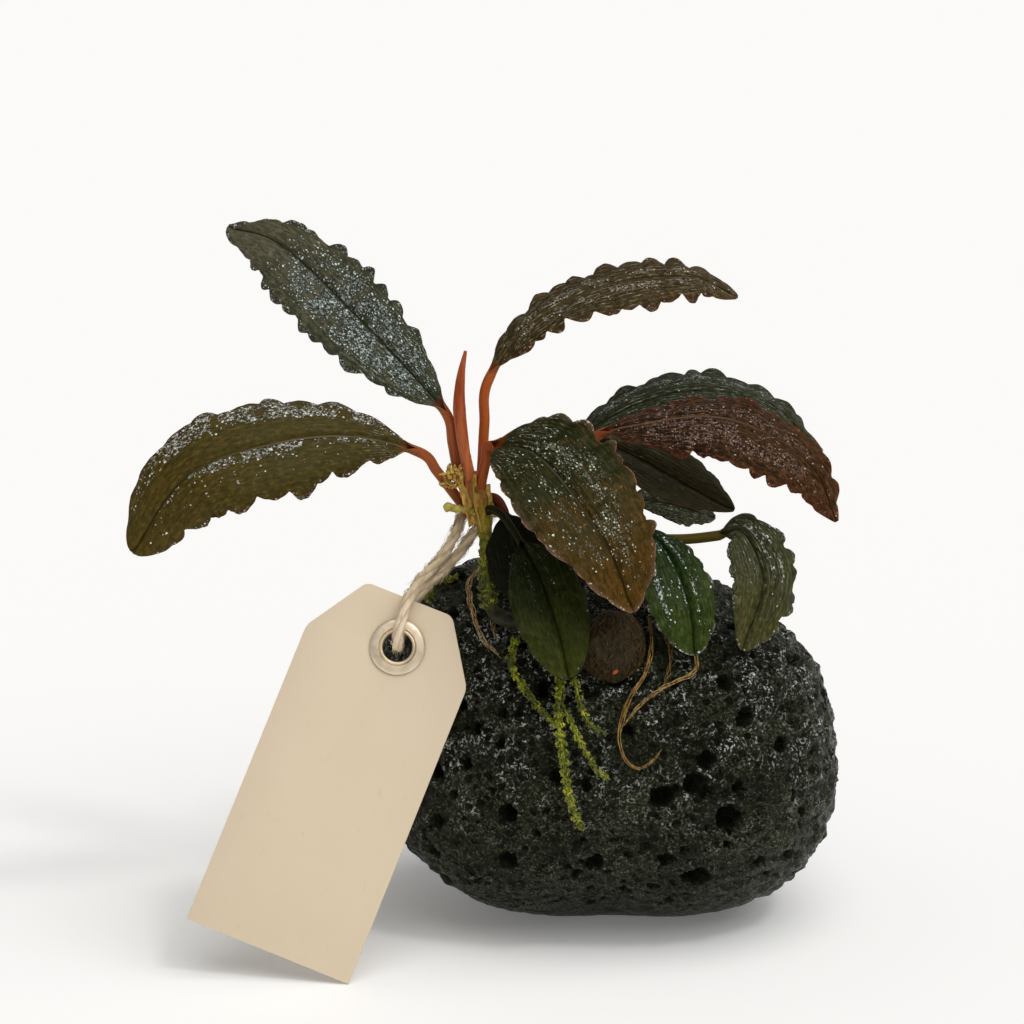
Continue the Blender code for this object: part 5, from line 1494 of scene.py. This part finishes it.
# The fleshy yellow-green spur at the crown
SPUR = ((-26.8, -12.6, 85.6), (-28.6, -13.6, 86.2), (-30.6, -14.0, 86.5), (-32.8, -14.2, 87.0))
SPUR_RADIUS = 0.72
SPUR_COLOUR = (0.24, 0.20, 0.015)
SPUR_PALE_COLOUR = (0.66, 0.54, 0.14)
# The stretch of the left stem that moss has grown over, how far out and how densely
STEM_MOSS_STRETCH = (0.36, 0.74)
STEM_MOSS_REACH = 2.4
STEM_MOSS_PER_MM = 70


def mossy():
    """Moss leaflets: yellow-green, each patch of them a little lighter or darker."""
    finish = new_finish("moss", Roughness=0.35)
    place = object_place(finish)
    lots = cells_at(finish, place, 1500.0)[1]
    light = mixed(finish, ranged(finish, lots[0], 0.2, 0.95), MOSS_COLOUR, MOSS_PALE_COLOUR)
    shade = ranged(finish, noise_at(finish, place, 260.0), 0.58, 0.42, 0.0, 0.8)
    connect(finish, Base_Color=mixed(finish, shade, light, MOSS_DARK_COLOUR))
    return finish


def laid_on_stone(route, height):
    """The points of a root that lies on the stone's front, from the x and z of each."""
    on_stone = [on_stone_front(x, z, height) for x, z in route]
    return [clear_of_stone(point, height) for point in on_stone]


def add_leaflets(bm, stations, radius, per_mm, draw):
    """Adds moss leaflets round a line, pointing along it and outwards."""
    length = lengths_along([station[0] for station in stations])[-1]
    for i in range(round(length * per_mm)):
        part = draw.random()
        bead = abs(math.sin(math.pi * part * length / BEAD_SPACING))
        if draw.random() > bead + 0.25:
            continue
        centre, direction, side, up = stations[int(part * (len(stations) - 1))]
        angle = draw.uniform(0, 2 * math.pi)
        out = outward(side, up, angle)
        taper = (1.0 - 0.40 * part) * (0.30 + 0.85 * bead)
        root = centre + out * radius * taper * 0.62
        lean = (out * draw.uniform(0.3, 0.9) + direction * draw.uniform(0.4, 1.0)).normalized()
        size = LEAFLET_LENGTH * draw.uniform(0.6, 1.15) * (0.75 + 0.25 * taper)
        shape = Matrix.Diagonal((*(share * size for share in LEAFLET_SHAPE), 1.0))
        turn = lean.to_track_quat("Z", "Y").to_matrix().to_4x4()
        spin = Matrix.Rotation(draw.uniform(0, math.pi), 4, "Z")
        bmesh.ops.create_icosphere(
            bm,
            subdivisions=1,
            radius=1.0,
            matrix=Matrix.Translation(root + lean * size * 0.4) @ turn @ spin @ shape,
        )


def place_mossy(name, points, radius, core, sides, spread, draw):
    """A strand with leaflets all round it. Its core and its spread are shares of its radius."""
    stations = stations_on(points, 0.3)
    strand_mesh = bmesh.new()
    add_tube(strand_mesh, stations, sides, lambda part, angle: radius * core * (1 - 0.5 * part))
    add_leaflets(strand_mesh, stations, radius * spread, LEAFLETS_PER_MM * radius, draw)
    place_piece(name + "_leafy", strand_mesh, [moss_finish], "moss", name)


def spur_radius(part, angle):
    """The spur's radius: lumpy, with a swollen round end."""
    lumps = 0.45 * noise.noise(Vector((part * 13.0, math.cos(angle) * 1.8, math.sin(angle) * 1.8)))
    swollen = 0.25 * math.exp(-(((part - 0.85) / 0.12) ** 2))
    end = math.sqrt(max(0.02, 1.0 - max(0.0, (part - 0.86) / 0.14) ** 2))
    return SPUR_RADIUS * (1.0 + lumps + swollen) * end


moss_finish = mossy()
draw = random.Random(23)
for name, (route, radius) in MOSSY_ROOTS.items():
    points = laid_on_stone(route, radius + STEM_CLEARANCE)
    place_mossy(name, points, radius, 0.40, 10, 1.0, draw)
for name, (route, radius) in MOSS_TUFTS.items():
    points = [clear_of_stone(point, radius * 0.8) for point in route]
    place_mossy(name, points, radius, 0.5, 8, 0.9, draw)

spur_mesh = bmesh.new()
add_tube(spur_mesh, stations_on(SPUR, 0.12), 24, spur_radius)
spur_finish = streaked("spur", SPUR_COLOUR, SPUR_PALE_COLOUR, 800.0, 0.8, 0.35, 0.2)
place_piece("crown_spur", spur_mesh, [spur_finish], "moss", "moss_spur")

# Moss leaflets close to the left stem, thickest where it leaves the stone
stem_moss_mesh = bmesh.new()
first, last = (round(len(left_stem_stations) * part) for part in STEM_MOSS_STRETCH)
climbing = left_stem_stations[first:last]
add_leaflets(stem_moss_mesh, climbing, STEM_MOSS_REACH, STEM_MOSS_PER_MM, draw)
place_piece("left_stem_moss", stem_moss_mesh, [moss_finish], "moss")


# The brown roots: hair-thin roots of the plant that have found no hold, a few lying together in
# each strand, dull gold where the light catches them and palest at the left.
ROOT_COLOUR = (0.12, 0.042, 0.007)
# A fibre's radius as a share of its strand's, and how much of it the thin end lacks
ROOT_FIBRE_SHARE = 0.29
ROOT_FIBRE_TAPER = 0.6
# Each fibre of a strand ends this many stations before the one beside it
ROOT_FIBRE_LAG = 2
# x and z along each, its radius, how many fibres it has and its light tone
BROWN_ROOTS = {
    "brown_root_left": (
        ((-26.4, 73.0), (-27.8, 71.0), (-27.4, 68.0), (-26.0, 64.0), (-23.6, 61.0), (-21.6, 59.2)),
        0.62,
        5,
        (0.70, 0.54, 0.26),
    ),
    "brown_root_fine": (((-23.2, 66.3), (-23.0, 64.5), (-22.2, 62.4)), 0.45, 3, (0.70, 0.54, 0.26)),
    "brown_root_hook": (
        (
            (7.2, 66.5), (7.4, 63.0), (6.4, 58.5), (3.6, 54.5), (1.6, 50.0), (1.0, 46.5), (2.0, 43.0),
            (4.5, 41.0), (7.0, 42.2), (9.0, 44.5),
        ),
        0.44,
        4,
        (0.55, 0.36, 0.10),
    ),
    "brown_root_right": (
        ((16.0, 60.5), (15.8, 58.0), (12.8, 56.6), (8.5, 54.8), (5.2, 52.6), (3.2, 50.6), (1.8, 48.8)),
        0.44,
        4,
        (0.62, 0.43, 0.14),
    ),
    "brown_root_short": (
        ((10.2, 64.0), (11.2, 61.0), (10.6, 58.0), (9.6, 55.8)),
        0.45,
        3,
        (0.40, 0.25, 0.07),
    ),
}


def add_strand(bm, stations, radius, fibres, seed):
    """Adds fine fibres that wander beside each other along a line."""

    def fibre_radius(part, angle):
        return radius * ROOT_FIBRE_SHARE * (1.0 - ROOT_FIBRE_TAPER * part)

    for index in range(fibres):
        wandering = []
        for row, (centre, direction, side, up) in enumerate(stations):
            part = row / (len(stations) - 1)
            angle = 2 * math.pi * (index / fibres + 1.3 * part) + seed
            sway = radius * (0.75 + 0.9 * noise.noise(Vector((part * 7, seed, index * 3.7))))
            sway *= 1.0 - 0.7 * part**6
            shifted = centre + outward(side, up, angle) * sway
            wandering.append((shifted, direction, side, up))
        reach = len(wandering) - index * ROOT_FIBRE_LAG
        add_tube(bm, wandering[:reach], 7, fibre_radius)


for seed, (name, (route, radius, fibres, pale)) in enumerate(BROWN_ROOTS.items()):
    stations = stations_on(laid_on_stone(route, radius + STEM_CLEARANCE), 0.4)
    root_mesh = bmesh.new()
    add_strand(root_mesh, stations, radius, fibres, seed)
    root_finish = streaked(name + "_skin", ROOT_COLOUR, pale, 1500.0, 0.35, 0.5, 0.10)
    place_piece(name + "_fibres", root_mesh, [root_finish], "brown_root", name)


# The crown's fibres: torn and curled remains of old sheaths, dry and straw-coloured, in a tuft
# beside the petioles and in strips that still clasp the stem's top.
TUFT_PLACE = Vector((-30.6, -13.6, 92.6))
TUFT_RIBBONS = 24
# points of each strip and its width
CLASPING_STRIPS = (
    (((-27.2, -13.4, 83.0), (-28.3, -13.6, 87.5), (-29.3, -13.4, 91.5), (-29.6, -13.0, 93.6)), 1.9),
    (((-25.0, -14.0, 82.0), (-26.0, -13.9, 87.0), (-26.8, -13.5, 91.0), (-26.6, -13.6, 93.2)), 1.7),
    (((-23.8, -12.8, 83.0), (-23.7, -12.6, 87.5), (-24.2, -12.2, 91.0)), 1.5),
)
STRAW_THICKNESS = 0.14
STRAW_COLOUR = (0.30, 0.14, 0.015)
STRAW_PALE_COLOUR = (0.76, 0.52, 0.14)


def add_ribbon(bm, stations, width, crumple, seed):
    """Adds a thin torn strip along a line, curved across and crumpled."""
    rows = len(stations) - 1
    made = bmesh.ops.create_grid(bm, x_segments=8, y_segments=rows, size=1.0)["verts"]
    for vert in made:
        across = vert.co.x
        row = round((vert.co.y + 1) / 2 * rows)
        centre, direction, side, up = stations[row]
        part = row / rows
        torn = 1.0 + 0.5 * noise.noise(Vector((part * 6.0, seed, across)))
        half = width / 2 * torn * (1.0 - 0.6 * part**3)
        rise = -0.35 * half * across**2
        rise += crumple * noise.noise(Vector((part * 5.0, across * 1.5, seed)))
        vert.co = centre + side * across * half + up * rise


straw_finish = streaked("straw", STRAW_COLOUR, STRAW_PALE_COLOUR, 900.0, 0.4, 0.55, 0.2)
crown_mesh = bmesh.new()
draw = random.Random(77)
for seed in range(TUFT_RIBBONS):
    jolt = Vector((draw.uniform(-0.9, 0.9), draw.uniform(-0.5, 0.5), draw.uniform(-2.2, 0.8)))
    points = [TUFT_PLACE + jolt]
    heading = Vector((draw.uniform(-1.0, 0.3), draw.uniform(-0.6, 0.3), draw.uniform(0.1, 1.0)))
    for step in range(3):
        turn = Vector([draw.uniform(-0.9, 0.9) for axis in range(3)])
        heading = (heading + turn * 0.9).normalized()
        points.append(points[-1] + heading * draw.uniform(0.6, 1.1))
    add_ribbon(crown_mesh, stations_on(points, 0.2), draw.uniform(0.5, 1.2), 0.5, seed * 1.7)
for seed, (points, width) in enumerate(CLASPING_STRIPS):
    add_ribbon(crown_mesh, stations_on(points, 0.25), width, 0.7, seed * 4.1 + 50)
crown = place_piece("crown_straw", crown_mesh, [straw_finish], "sheath_fibre", "crown_fibres")
thicken(crown, STRAW_THICKNESS)
